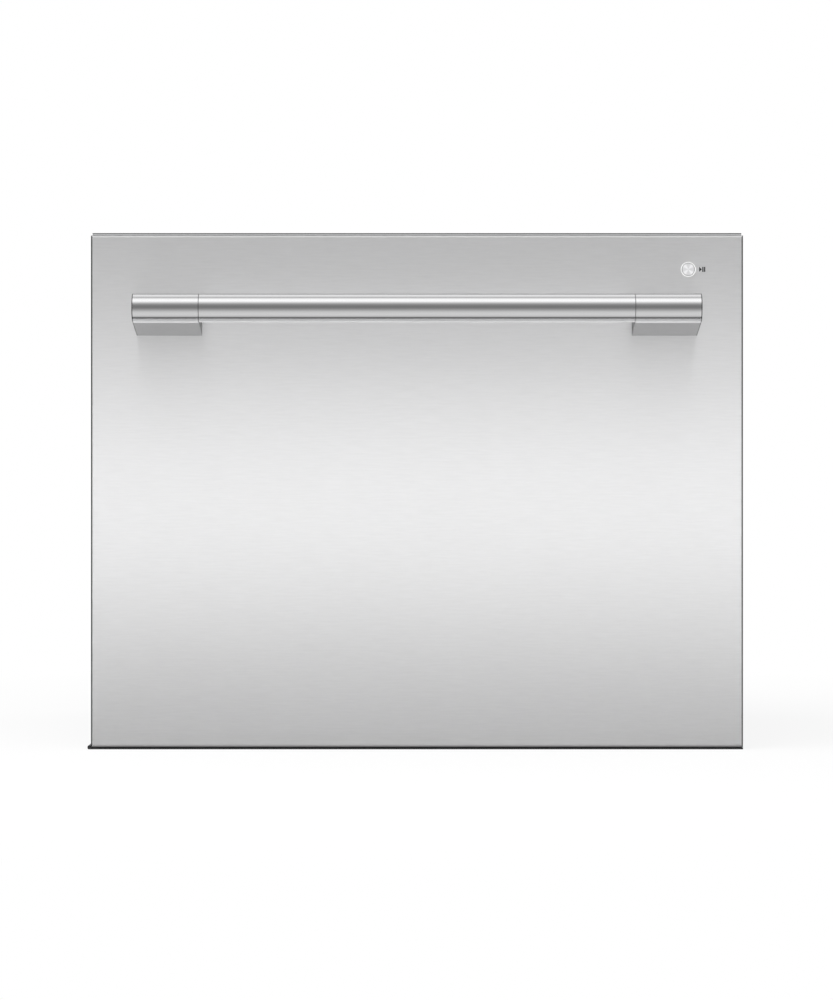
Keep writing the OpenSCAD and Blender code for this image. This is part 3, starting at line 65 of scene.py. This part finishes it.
class Nodes:
    """A node tree that is being built, with short calls that add nodes to it."""

    def __init__(self, tree):
        self.tree = tree

    def add(self, kind, **settings):
        node = self.tree.nodes.new(kind)
        for key, value in settings.items():
            setattr(node, key, value)
        return node

    def add_fed(self, kind, value):
        """A node whose first input is fed by value."""
        node = self.add(kind)
        self.feed(node.inputs[0], value)
        return node

    def feed(self, socket, value):
        """Joins an output to a socket, or sets the socket to a plain value."""
        if isinstance(value, bpy.types.NodeSocket):
            self.tree.links.new(value, socket)
        else:
            socket.default_value = value

    def math(self, operation, a, b=0.0):
        node = self.add("ShaderNodeMath", operation=operation)
        self.feed(node.inputs[0], a)
        self.feed(node.inputs[1], b)
        return node.outputs[0]

    def spread(self, value, low, high, to_low, to_high):
        """to_low up to low, to_high from high on, and evenly graded between."""
        node = self.add("ShaderNodeMapRange")
        self.feed(node.inputs["Value"], value)
        self.feed(node.inputs["From Min"], low)
        self.feed(node.inputs["From Max"], high)
        self.feed(node.inputs["To Min"], to_low)
        self.feed(node.inputs["To Max"], to_high)
        return node.outputs["Result"]

    def valley(self, value, places, levels):
        """One level up to the first place, one between the middle two, and one from the last place on."""
        fall = self.spread(value, places[0], places[1], levels[0], levels[1])
        rise = self.spread(value, places[2], places[3], levels[1], levels[2])
        return self.math("MAXIMUM", fall, rise)

    def length(self, a, b):
        """How long the diagonal of a by b is."""
        squares = self.math("ADD", self.math("MULTIPLY", a, a), self.math("MULTIPLY", b, b))
        return self.math("SQRT", squares)

    def split(self, vector):
        return self.add_fed("ShaderNodeSeparateXYZ", vector).outputs

    def mix(self, factor, a, b):
        """Colour a where factor is 0, and colour b where it is 1."""
        node = self.add("ShaderNodeMix", data_type="RGBA")
        self.feed(node.inputs[0], factor)
        self.feed(node.inputs[6], a)
        self.feed(node.inputs[7], b)
        return node.outputs[2]

    def mix_shaders(self, factor, a, b):
        node = self.add("ShaderNodeMixShader")
        self.feed(node.inputs[0], factor)
        self.feed(node.inputs[1], a)
        self.feed(node.inputs[2], b)
        return node.outputs[0]


class Finish(Nodes):
    """A material that is being built round one shader. The scales of its noise are in repeats per metre."""

    def __init__(self, name, colour, roughness, metallic=0.0):
        self.material = bpy.data.materials.new(name)
        self.material.use_nodes = True
        self.material.diffuse_color = (*colour, 1)
        super().__init__(self.material.node_tree)
        self.shader = self.tree.nodes["Principled BSDF"]
        self.set("Base Color", (*colour, 1))
        self.set("Roughness", roughness)
        self.set("Metallic", metallic)
        self.place = self.add("ShaderNodeTexCoord").outputs["Object"]

    def set(self, socket, value):
        self.shader.inputs[socket].default_value = value

    def feeding(self, socket):
        """What the shader's socket is fed with so far."""
        return self.shader.inputs[socket].links[0].from_socket

    def tint(self, value):
        self.feed(self.shader.inputs["Base Color"], value)

    def rough(self, value):
        self.feed(self.shader.inputs["Roughness"], value)

    def times(self, colour, factor):
        """colour made lighter or darker by a factor that varies over the piece."""
        node = self.add("ShaderNodeVectorMath", operation="SCALE")
        self.feed(node.inputs[0], colour)
        self.feed(node.inputs["Scale"], factor)
        return node.outputs[0]

    def shade(self, factor):
        """Makes the colour that the finish has so far lighter or darker by a factor."""
        self.tint(self.times(self.feeding("Base Color"), factor))

    def noise(self, scale, detail=3.0, roughness=0.5, vector=None):
        node = self.add("ShaderNodeTexNoise")
        self.feed(node.inputs["Vector"], vector or self.place)
        self.feed(node.inputs["Scale"], scale)
        self.feed(node.inputs["Detail"], detail)
        self.feed(node.inputs["Roughness"], roughness)
        return node.outputs["Fac"]

    def streaks(self, scales, detail, roughness=0.5):
        """Noise with a scale of its own along each axis."""
        node = self.add("ShaderNodeMapping")
        self.feed(node.inputs["Vector"], self.place)
        self.feed(node.inputs["Scale"], scales)
        return self.noise(1, detail, roughness, node.outputs["Vector"])

    def swing(self, noise, low, high):
        """Noise, most of which lies between 0.3 and 0.7, as values from low to high."""
        return self.spread(noise, 0.3, 0.7, low, high)

    def cells(self, scale):
        """Small cells, each evenly filled with a random colour."""
        node = self.add("ShaderNodeTexVoronoi")
        self.feed(node.inputs["Vector"], self.place)
        self.feed(node.inputs["Scale"], scale)
        return node.outputs["Color"]

    def bump(self, height, depth, strength=1.0, below=None):
        """Relief of that depth in metres. below is the normal of a coarser relief."""
        node = self.add("ShaderNodeBump")
        self.feed(node.inputs["Height"], height)
        self.feed(node.inputs["Distance"], depth)
        self.feed(node.inputs["Strength"], strength)
        if below is not None:
            self.feed(node.inputs["Normal"], below)
        self.feed(self.shader.inputs["Normal"], node.outputs["Normal"])
        return node.outputs["Normal"]

    def normal(self):
        """The direction that the surface faces."""
        return self.add("ShaderNodeNewGeometry").outputs["Normal"]

    def edges(self, radius):
        """1 on the sharp edges of the piece, 0 on its faces."""
        soft = self.add("ShaderNodeBevel", samples=4)
        self.feed(soft.inputs["Radius"], radius)
        likeness = self.add("ShaderNodeVectorMath", operation="DOT_PRODUCT")
        self.feed(likeness.inputs[0], soft.outputs[0])
        self.feed(likeness.inputs[1], self.normal())
        on_face, on_edge = 1.0, 0.86
        return self.spread(likeness.outputs["Value"], on_face, on_edge, 0.0, 1.0)

    def groove(self, axis, strength):
        """Fine grooves that run along an axis, so that highlights stretch across them."""
        node = self.add("ShaderNodeTangent", direction_type="RADIAL", axis=axis)
        self.feed(self.shader.inputs["Tangent"], node.outputs[0])
        self.set("Anisotropic", strength)


# ---------------------------------------------------------------- plastics and rubber

def moulded(name, colour, roughness, grain=0.5 * MM, depth=0.015 * MM, tone=0.05, edge_light=0.12):
    """Injection-moulded plastic: an even grain, slow changes of tone, and a painted highlight that makes the
    edges lighter, or painted shade that makes them darker where the edge amount is below 0.
    """
    f = Finish(name, colour, roughness)
    slow = f.noise(14)
    fine = f.noise(1 / grain, detail=2)
    # Painted highlight on the edges, not wear: a positive amount lightens them, a negative one darkens them
    # as painted shade.
    painted_edge_light = f.math("MULTIPLY", f.edges(0.6 * MM), edge_light)
    f.tint(f.times(colour, f.math("ADD", f.swing(slow, 1 - tone, 1 + tone), painted_edge_light)))
    f.rough(f.swing(f.noise(55, detail=2), roughness * 0.9, roughness * 1.1))
    f.bump(fine, depth)
    return f


def control_top(name, colour):
    """The control strip's satin moulding, much darker on its top and on the edge next to it."""
    lightness, top_lightness, edge, blend = 0.87, 0.08, 0.8 * MM, 0.15 * MM
    f = moulded(name, darker(colour, lightness), 0.35, tone=0.03)
    _, _, z = f.split(f.place)
    top_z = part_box("control_strip")[1].z
    f.shade(f.spread(z, top_z - edge - blend, top_z - edge, 1, top_lightness))
    return f


def rubber(name, colour, roughness=0.72):
    """Soft rubber: dull, finely pitted and faintly dusted."""
    dusty = (c * 1.5 + 0.02 for c in colour)
    f = Finish(name, colour, roughness)
    dust = f.spread(f.noise(60, detail=6), 0.45, 0.75, 0.0, 0.35)
    f.tint(f.mix(dust, (*colour, 1), (*dusty, 1)))
    f.rough(f.swing(f.noise(30), roughness - 0.07, roughness + 0.07))
    f.bump(f.noise(2600, detail=2), 0.03 * MM)
    return f


def gloss(name, colour):
    """Glossy window plastic: nearly even, with a trace of moulding waviness."""
    roughness = 0.06
    f = Finish(name, colour, roughness)
    f.set("Coat Weight", 0.4)
    f.set("Coat Roughness", 0.03)
    f.rough(f.spread(f.noise(90, detail=6), 0.35, 0.75, roughness * 0.7, roughness * 2))
    f.bump(f.noise(35, detail=1), 0.02 * MM)
    return f


def wire_coat(name, colour):
    """Nylon-coated wire: thick, smooth and faintly lumpy where the powder has flowed."""
    roughness = 0.34
    f = Finish(name, colour, roughness)
    f.set("Coat Weight", 0.25)
    f.set("Coat Roughness", 0.15)
    f.tint(f.times(colour, f.swing(f.noise(70, detail=4), 0.93, 1.07)))
    f.rough(f.swing(f.noise(160), roughness - 0.05, roughness + 0.08))
    f.bump(f.noise(420, detail=2), 0.05 * MM, strength=0.5)
    return f


def board(name, colour):
    """A lacquered circuit board with tracks under the lacquer."""
    f = Finish(name, colour, 0.25)
    tracks = f.add_fed("ShaderNodeTexBrick", f.place)
    looks = {"Color1": (*colour, 1), "Color2": (*colour, 1), "Mortar": (*darker(colour, 1.9), 1),
             "Scale": 260, "Mortar Size": 0.03}
    for socket, value in looks.items():
        f.feed(tracks.inputs[socket], value)
    f.tint(tracks.outputs["Color"])
    f.bump(f.noise(700), 0.01 * MM)
    return f


# ---------------------------------------------------------------- metals

def sheet_zinc(name, colour):
    """Zinc-coated sheet: small crystals, each with its own tone and gloss, under light drawing lines."""
    roughness = 0.36
    f = Finish(name, colour, roughness, metallic=1.0)
    crystal_tone, crystal_gloss, _ = f.add_fed("ShaderNodeSeparateColor", f.cells(150)).outputs
    lines = f.streaks((900, 30, 30), detail=2)
    tone = f.math("ADD", f.spread(crystal_tone, 0, 1, 0.93, 1.04), f.swing(lines, -0.02, 0.02))
    f.tint(f.times(colour, tone))
    f.rough(f.spread(crystal_gloss, 0, 1, roughness - 0.06, roughness + 0.08))
    waves = f.bump(f.noise(18), 0.25 * MM, strength=0.5)
    f.bump(f.noise(500), 0.01 * MM, below=waves)
    return f


def plated(name, colour):
    """Bright zinc plating: fine rolling marks along the piece and a soft, cloudy sheen."""
    roughness = 0.34
    f = Finish(name, colour, roughness, metallic=1.0)
    cloud = f.noise(45, detail=5)
    marks = f.streaks((1400, 24, 1400), detail=3)
    tone = f.math("ADD", f.swing(cloud, 0.93, 1.03), f.swing(marks, -0.03, 0.03))
    f.tint(f.times(colour, tone))
    f.rough(f.swing(cloud, roughness - 0.05, roughness + 0.07))
    f.bump(marks, 0.008 * MM)
    return f


def heater(name, colour):
    """A heating element's sheath: straw and blue heat tints in slow clouds."""
    roughness, straw, blue = 0.34, (0.42, 0.33, 0.2, 1), (0.2, 0.22, 0.33, 1)
    f = Finish(name, colour, roughness, metallic=1.0)
    warm = f.mix(f.spread(f.noise(28), 0.35, 0.65, 0, 1), (*colour, 1), straw)
    f.tint(f.mix(f.spread(f.noise(19, detail=4), 0.55, 0.7, 0, 0.7), warm, blue))
    f.rough(f.swing(f.noise(300), roughness - 0.06, roughness + 0.06))
    return f


def brushed(name, colour, roughness, strength, tone=0.03):
    """Stainless steel brushed level: long fine streaks along X, so that highlights spread up and down."""
    f = Finish(name, colour, roughness, metallic=1.0)
    f.groove("X", strength)
    long_streaks = f.streaks((45, 600, 600), detail=2, roughness=0.6)
    fine_streaks = f.streaks((140, 2600, 2600), detail=3, roughness=0.7)
    both = f.math("ADD", f.math("MULTIPLY", long_streaks, 0.6), f.math("MULTIPLY", fine_streaks, 0.4))
    f.tint(f.times(colour, f.spread(both, 0.35, 0.65, 1 - tone, 1 + tone)))
    f.rough(f.swing(fine_streaks, roughness * 0.88, roughness * 1.12))
    f.bump(fine_streaks, 0.004 * MM, strength=0.6)
    return f


def front_sheet(name, colour):
    """The brushed front, with painted shade and a painted highlight by the way each part faces: its bends at
    the sides and the foot are painted darker, the one along the top lighter.
    """
    lightness, side_bend_shade, top_bend_highlight, foot_bend_shade = 0.735, 0.12, 1.3, 0.8
    f = brushed(name, darker(colour, lightness), 0.32, 0.95)
    aside, _, up = f.split(f.normal())
    # Painted shade on the side bends and the foot bend, and a painted highlight on the top bend, by the
    # direction each faces.
    f.shade(f.valley(f.math("ABSOLUTE", aside), (0.25, 0.6, 0.97, 1.0), (1, side_bend_shade, 1)))
    f.shade(f.spread(up, 0.1, 0.4, 1, top_bend_highlight))
    f.shade(f.spread(up, -0.3, -0.05, foot_bend_shade, 1))
    return f


def bar_metal(name, colour):
    """Finely ground steel, with a dark line of painted shade low on its round and a paler band of painted
    reflection below that.
    """
    painted_reflection_band, painted_shade_line = 1.35, 0.62
    f = brushed(name, colour, 0.12, 0.5, tone=0.015)
    _, _, up = f.split(f.normal())
    # Painted shade and a painted reflection by the way the round faces, not the steel's own colour.
    f.shade(f.valley(up, (-0.8, -0.73, -0.73, -0.66), (painted_reflection_band, painted_shade_line, 1)))
    return f


def post_metal(name, colour):
    """The bar's steel, with painted shade: a dark line round the outer end, darker edges, darker faces
    underneath beyond the bar, and darker ends that are also matt.
    """
    underside_shade, end_shade_line, end_face_shade, end_roughness, edge = 0.29, 0.3, 0.55, 0.9, 0.7
    low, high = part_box("handle_bar")
    axis, radius = (low + high) / 2, (high.z - low.z) / 2
    outer_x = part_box("handle_post_right")[1].x
    f = bar_metal(name, colour)
    x, y, z = f.split(f.place)
    aside, _, up = f.split(f.normal())
    from_axis = f.length(f.math("SUBTRACT", y, axis.y), f.math("SUBTRACT", z, axis.z))
    beyond_bar = f.spread(from_axis, radius + 0.05 * MM, radius + 0.9 * MM, 0, 1)
    facing_down = f.spread(up, -0.5, -0.3, 1, 0)
    # Painted shade on the faces that look down, beyond the bar's round.
    f.shade(f.spread(f.math("MULTIPLY", beyond_bar, facing_down), 0, 1, 1, underside_shade))
    end_face = f.spread(f.math("ABSOLUTE", aside), 0.5, 0.9, 0, 1)
    near_end = f.spread(f.math("ABSOLUTE", x), outer_x - 1.0 * MM, outer_x - 0.8 * MM, 0, 1)
    # Painted shade: a dark line round the outer end, and darker end faces.
    f.shade(f.spread(f.math("SUBTRACT", near_end, end_face), 0, 1, 1, end_shade_line))
    f.shade(f.spread(end_face, 0, 1, 1, end_face_shade))
    f.rough(f.math("MAXIMUM", f.feeding("Roughness"), f.math("MULTIPLY", end_face, end_roughness)))
    # Painted shade along the edges.
    f.shade(f.spread(f.edges(1.6 * MM), 0, 1, 1, edge))
    return f


def button_face(name, colour):
    """Pale satin metal with four light rays of painted highlight that meet at the button's centre, and
    painted shade that makes its border darker.
    """
    lightness, shade_between_rays, rim_shade, ray_count = 0.84, 0.78, 0.62, 4
    low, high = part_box("start_button")
    centre, radius = (low + high) / 2, (high.z - low.z) / 2
    colour = darker(colour, lightness)
    f = Finish(name, colour, 0.3, metallic=0.2)
    x, _, z = f.split(f.place)
    along, up = f.math("SUBTRACT", x, centre.x), f.math("SUBTRACT", z, centre.z)
    # Painted highlight: light rays by angle round the centre, with painted shade between them.
    rays = f.math("COSINE", f.math("MULTIPLY", f.math("ARCTAN2", up, along), ray_count))
    f.tint(f.times(colour, f.spread(rays, -1, 0.6, 1, shade_between_rays)))
    # Painted shade round the border of the face.
    f.shade(f.spread(f.length(along, up), radius - 0.9 * MM, radius - 0.3 * MM, 1, rim_shade))
    f.bump(f.noise(1500, detail=2), 0.004 * MM)
    return f


# ---------------------------------------------------------------- the finish of each slot

def darker(colour, factor):
    """A plain colour times a factor, which makes it lighter if it is over 1."""
    return tuple(factor * c for c in colour)


# The edge amounts given to the moulded plastics below paint a highlight on their edges.
BUILDERS = {
    "galvanised_sheet": sheet_zinc,
    "black_plastic": partial(moulded, roughness=0.42, tone=0.1, edge_light=0.2),
    "black_rubber": rubber,
    "zinc_steel": plated,
    "dark_plastic": partial(moulded, roughness=0.45, tone=0.08, edge_light=0.2),
    "white_plastic": partial(moulded, roughness=0.4),
    "lid_plastic": partial(moulded, roughness=0.42, grain=0.7 * MM),
    "grey_rubber": partial(rubber, roughness=0.6),
    "brushed_front": front_sheet,
    "gloss_black": gloss,
    "trim_silver": control_top,
    "board_green": board,
    "bright_metal": button_face,
    "tub_plastic": partial(moulded, roughness=0.33, grain=1.1 * MM, depth=0.01 * MM),
    "pale_plastic": partial(moulded, roughness=0.34, grain=0.8 * MM),
    "heater_steel": heater,
    "filter_grey": partial(moulded, roughness=0.38),
    "filter_blue": partial(moulded, roughness=0.36),
    "coated_wire": wire_coat,
    "rack_plastic": partial(moulded, roughness=0.36),
}


def slot_colours():
    """The base colour of each material slot, from the record."""
    return {m["slot"]: tuple(m["base_color"]) for m in frame["record"]["materials"]}


def dress(colours):
    """Gives every node the finish of its slot."""
    finishes = {slot: build(slot + "_finish", colours[slot]).material for slot, build in BUILDERS.items()}
    for node in NODES.values():
        for place in node.material_slots:
            place.material = finishes[place.material.name.split(".")[0]]


def put(nodes, finish):
    """Gives some nodes a finish of their own."""
    for node in nodes:
        for place in NODES[node].material_slots:
            place.material = finish.material


# ---------------------------------------------------------------- printed signs

INK = 0.03 * MM


def printed(name, outlines, place, material):
    """Signs printed on a flat face of the drawer. Each outline is a list of (u, v) points on the face, and
    place turns u, v and the depth below the ink's surface into a point of the frame."""
    mesh = bpy.data.meshes.new(name)
    shape = bmesh.new()
    for outline in outlines:
        top = [shape.verts.new(place(u, v, 0)) for u, v in outline]
        bottom = [shape.verts.new(place(u, v, INK)) for u, v in outline]
        shape.faces.new(top)
        shape.faces.new(bottom[::-1])
        for i, corner in enumerate(top):
            following = (i + 1) % len(top)
            shape.faces.new((corner, bottom[i], bottom[following], top[following]))
    bmesh.ops.recalc_face_normals(shape, faces=shape.faces)
    shape.to_mesh(mesh)
    shape.free()
    piece = bpy.data.objects.new(name, mesh)
    bpy.context.scene.collection.objects.link(piece)
    mesh.materials.append(material)
    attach(piece, "drawer")


def bar(u, v, width, height):
    """The outline of an upright or level bar round a centre."""
    return [(u + sx * width / 2, v + sy * height / 2) for sx, sy in ((-1, -1), (1, -1), (1, 1), (-1, 1))]


def arc(u, v, radius, start, end):
    """Points round a centre, from one angle to another, in degrees."""
    steps = 14
    angles = [math.radians(start + (end - start) * i / steps) for i in range(steps + 1)]
    return [(u + radius * math.cos(a), v + radius * math.sin(a)) for a in angles]


def start_sign(ink):
    """The play and pause sign printed to the right of the start button."""
    from_button, play_gap, bar_gap = 10 * MM, 0.325 * MM, 0.5 * MM
    half_h, play_w, bar_w = 2.3 * MM, 2.5 * MM, 1.15 * MM
    centre = sum(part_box("start_button"), Vector()) / 2
    left, z = centre.x + from_button, centre.z
    first_bar = left + play_w + play_gap + bar_w / 2
    signs = [[(left, z - half_h), (left + play_w, z), (left, z + half_h)]]
    signs += [bar(x, z, bar_w, 2 * half_h) for x in (first_bar, first_bar + bar_w + bar_gap)]
    printed("start_sign", signs, lambda u, v, depth: (u, FRONT_Y - INK + depth, v), ink)


def key_signs(ink):
    """One small sign on each key behind the front's top edge: on and off, a drop, plus and minus."""
    margin, pitch, line, r = 16 * MM, 26 * MM, 0.6 * MM, 1.9 * MM
    ring_angles, drop_angles = (125, 415), (150, 390)
    low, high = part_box("keypad")
    y = (low.y + high.y) / 2
    on_off, drop, plus, minus = (low.x + margin + i * pitch for i in range(4))
    arm_length, arm_y = r - line / 2, (r + line / 2) / 2
    signs = [
        arc(on_off, y, r, *ring_angles) + arc(on_off, y, r - line, *ring_angles[::-1]),
        bar(on_off, y + r * 0.8, line, r),
        arc(drop, y - 0.3 * r, 0.75 * r, *drop_angles) + [(drop, y + 1.3 * r)],
        bar(plus, y, 2 * r, line),
        bar(plus, y + arm_y, line, arm_length),
        bar(plus, y - arm_y, line, arm_length),
        bar(minus, y, 2 * r, line),
    ]
    printed("key_signs", signs, lambda u, v, depth: (u, v, high.z + INK - depth), ink)


# ---------------------------------------------------------------- studio

def linear(level):
    """A screen level from 0 to 255 as linear light."""
    share = level / 255
    return share / 12.92 if share <= 0.04045 else ((share + 0.055) / 1.055) ** 2.4


# What polished metal reflects in the studio, as screen levels. The angle runs from the horizon in front
# of the drawer (0) up over the top (90) to the horizon behind it (180), and down the other way.
REFLECTED = [
    (-180, 214), (-140, 214), (-120, 195), (-110, 130), (-100, 84), (-89, 104), (-79, 162), (-69, 200),
    (-55, 204), (-41, 200), (-32, 189), (-24, 170), (-16, 150), (-8, 130), (0, 116), (8, 116),
    (16, 122), (24, 137), (32, 163), (41, 202), (49, 242), (58, 255), (68, 252), (78, 228),
    (88, 168), (99, 203), (112, 236), (127, 200), (180, 200),
]
REFLECTED_ASIDE = 190
ASIDE_BLEND = (0.6, 0.98)
POLISH = 0.72
MATT_LIGHT = 0.72


def grey(level):
    return (level, level, level, 1)


def studio_world():
    """A white room to the eye and to matt surfaces. Gloss sees its lamps and dark gaps by height."""
    world = bpy.data.worlds.new("studio")
    bpy.context.scene.world = world
    world.use_nodes = True
    n = Nodes(world.node_tree)
    n.tree.nodes.clear()
    brightest = max(linear(level) for _, level in REFLECTED)

    x, y, z = n.split(n.add("ShaderNodeTexCoord").outputs["Generated"])
    angle = n.math("ARCTAN2", z, n.math("MULTIPLY", y, -1))
    ramp = n.add_fed("ShaderNodeValToRGB", n.spread(angle, -math.pi, math.pi, 0, 1))
    stops = ramp.color_ramp.elements
    while len(stops) < len(REFLECTED):
        stops.new(0.5)
    for stop, (degrees, level) in zip(stops, REFLECTED):
        stop.position = (degrees + 180) / 360
        stop.color = grey(linear(level) / brightest)
    aside = n.spread(n.math("ABSOLUTE", x), *ASIDE_BLEND, 0, 1)
    seen_in_gloss = n.mix(aside, ramp.outputs[0], grey(linear(REFLECTED_ASIDE) / brightest))

    def background(colour, strength):
        node = n.add("ShaderNodeBackground")
        n.feed(node.inputs["Color"], colour)
        n.feed(node.inputs["Strength"], strength)
        return node.outputs[0]

    path = n.add("ShaderNodeLightPath")
    light = n.mix_shaders(path.outputs["Is Glossy Ray"],
                          background(grey(1), MATT_LIGHT), background(seen_in_gloss, brightest / POLISH))
    looked_at = n.math("MAXIMUM", path.outputs["Is Camera Ray"], path.outputs["Is Transmission Ray"])
    final = n.mix_shaders(looked_at, light, background(grey(1), 1))
    n.feed(n.add("ShaderNodeOutputWorld").inputs["Surface"], final)


def group_of(nodes, name):
    group = bpy.data.collections.new(name)
    for node in nodes:
        group.objects.link(NODES[node])
    return group


def soft_lamp(name, at, aim, size, power, only=(), shaded_by=()):
    """A rectangular soft lamp. only lists the nodes that it lights, if not all of them, and shaded_by then
    those that cast a shadow in its light, if not the same ones."""
    data = bpy.data.lights.new(name, "AREA")
    data.shape = "RECTANGLE"
    data.size, data.size_y = size
    data.energy = power
    lamp = bpy.data.objects.new(name, data)
    lamp.location = at
    lamp.rotation_euler = (Vector(aim) - Vector(at)).to_track_quat("-Z", "Y").to_euler()
    lamp.visible_camera = False
    bpy.context.scene.collection.objects.link(lamp)
    if only:
        lamp.light_linking.receiver_collection = group_of(only, name + "_lights")
        lamp.light_linking.blocker_collection = group_of(shaded_by or only, name + "_shades")
    return lamp


def lamps():
    """A soft overhead lamp, and two that light only the front: a wide low one whose glow lies across its
    middle, and a larger one, higher and further off, in whose light the handle casts its shadow."""
    top = soft_lamp("overhead", at=(-0.6, -1.2, 2.4), aim=(0, 0, 0.2), size=(2.4, 1.6), power=32)
    top.visible_glossy = False
    glow_z, glow_distance, fill_distance = 0.222, 0.45, 1.3
    soft_lamp("front_glow", at=(0, FRONT_Y - glow_distance, glow_z), aim=(0, FRONT_Y, glow_z),
              size=(2.4, 0.18), power=4.0, only=FRONT_PIECES)
    soft_lamp("front_fill", at=(0, FRONT_Y - fill_distance, 0.95), aim=(0, FRONT_Y, 0.4),
              size=(4.0, 1.2), power=5.5, only=FRONT_PIECES, shaded_by=["handle_bar", *HANDLE_POSTS])


def floor():
    """A pale floor that keeps the drawer's soft shadow, and away from it is as white as the room."""
    half_side, drop = 12, 0.2 * MM
    near, far, near_whiteness = 0.45, 1.3, 0.8
    mesh = bpy.data.meshes.new("floor")
    shape = bmesh.new()
    bmesh.ops.create_grid(shape, x_segments=8, y_segments=8, size=half_side)
    shape.to_mesh(mesh)
    shape.free()
    piece = bpy.data.objects.new("floor", mesh)
    bpy.context.scene.collection.objects.link(piece)
    piece.location.z = -drop
    piece.visible_glossy = False
    f = Finish("floor_white", (0.96, 0.96, 0.96), 0.9)
    f.set("Specular IOR Level", 0.0)
    reach = f.add("ShaderNodeVectorMath", operation="LENGTH")
    f.feed(reach.inputs[0], f.place)
    whiteness = f.spread(reach.outputs["Value"], near, far, near_whiteness, 1.0)
    share = f.math("MULTIPLY", f.add("ShaderNodeLightPath").outputs["Is Camera Ray"], whiteness)
    surface = f.mix_shaders(share, f.shader.outputs[0], f.add("ShaderNodeEmission").outputs[0])
    f.feed(f.tree.nodes["Material Output"].inputs["Surface"], surface)
    mesh.materials.append(f.material)


def camera():
    data = bpy.data.cameras.new("camera")
    data.sensor_width = SENSOR
    data.lens = LENS
    data.clip_end = CAMERA_REACH
    eye = bpy.data.objects.new("camera", data)
    eye.location = (CAMERA_X, FRONT_Y - CAMERA_DISTANCE, CAMERA_Z)
    eye.rotation_euler = (math.pi / 2, 0, 0)
    bpy.context.scene.collection.objects.link(eye)
    bpy.context.scene.camera = eye


# ---------------------------------------------------------------- the scene

bpy.context.scene.view_settings.view_transform = "Standard"
colours = slot_colours()
dress(colours)
put(["handle_bar"], bar_metal("polished_bar", colours["brushed_front"]))
put(HANDLE_POSTS, post_metal("polished_post", colours["brushed_front"]))
# The bezel's edges get painted shade: its negative edge amount darkens them.
put(["button_bezel"], moulded("bezel_white", (0.88, 0.88, 0.88), 0.3, tone=0.01, edge_light=-0.3))
ink = moulded("sign_ink", (0.012, 0.012, 0.013), 0.6).material
start_sign(ink)
key_signs(ink)
studio_world()
lamps()
floor()
camera()
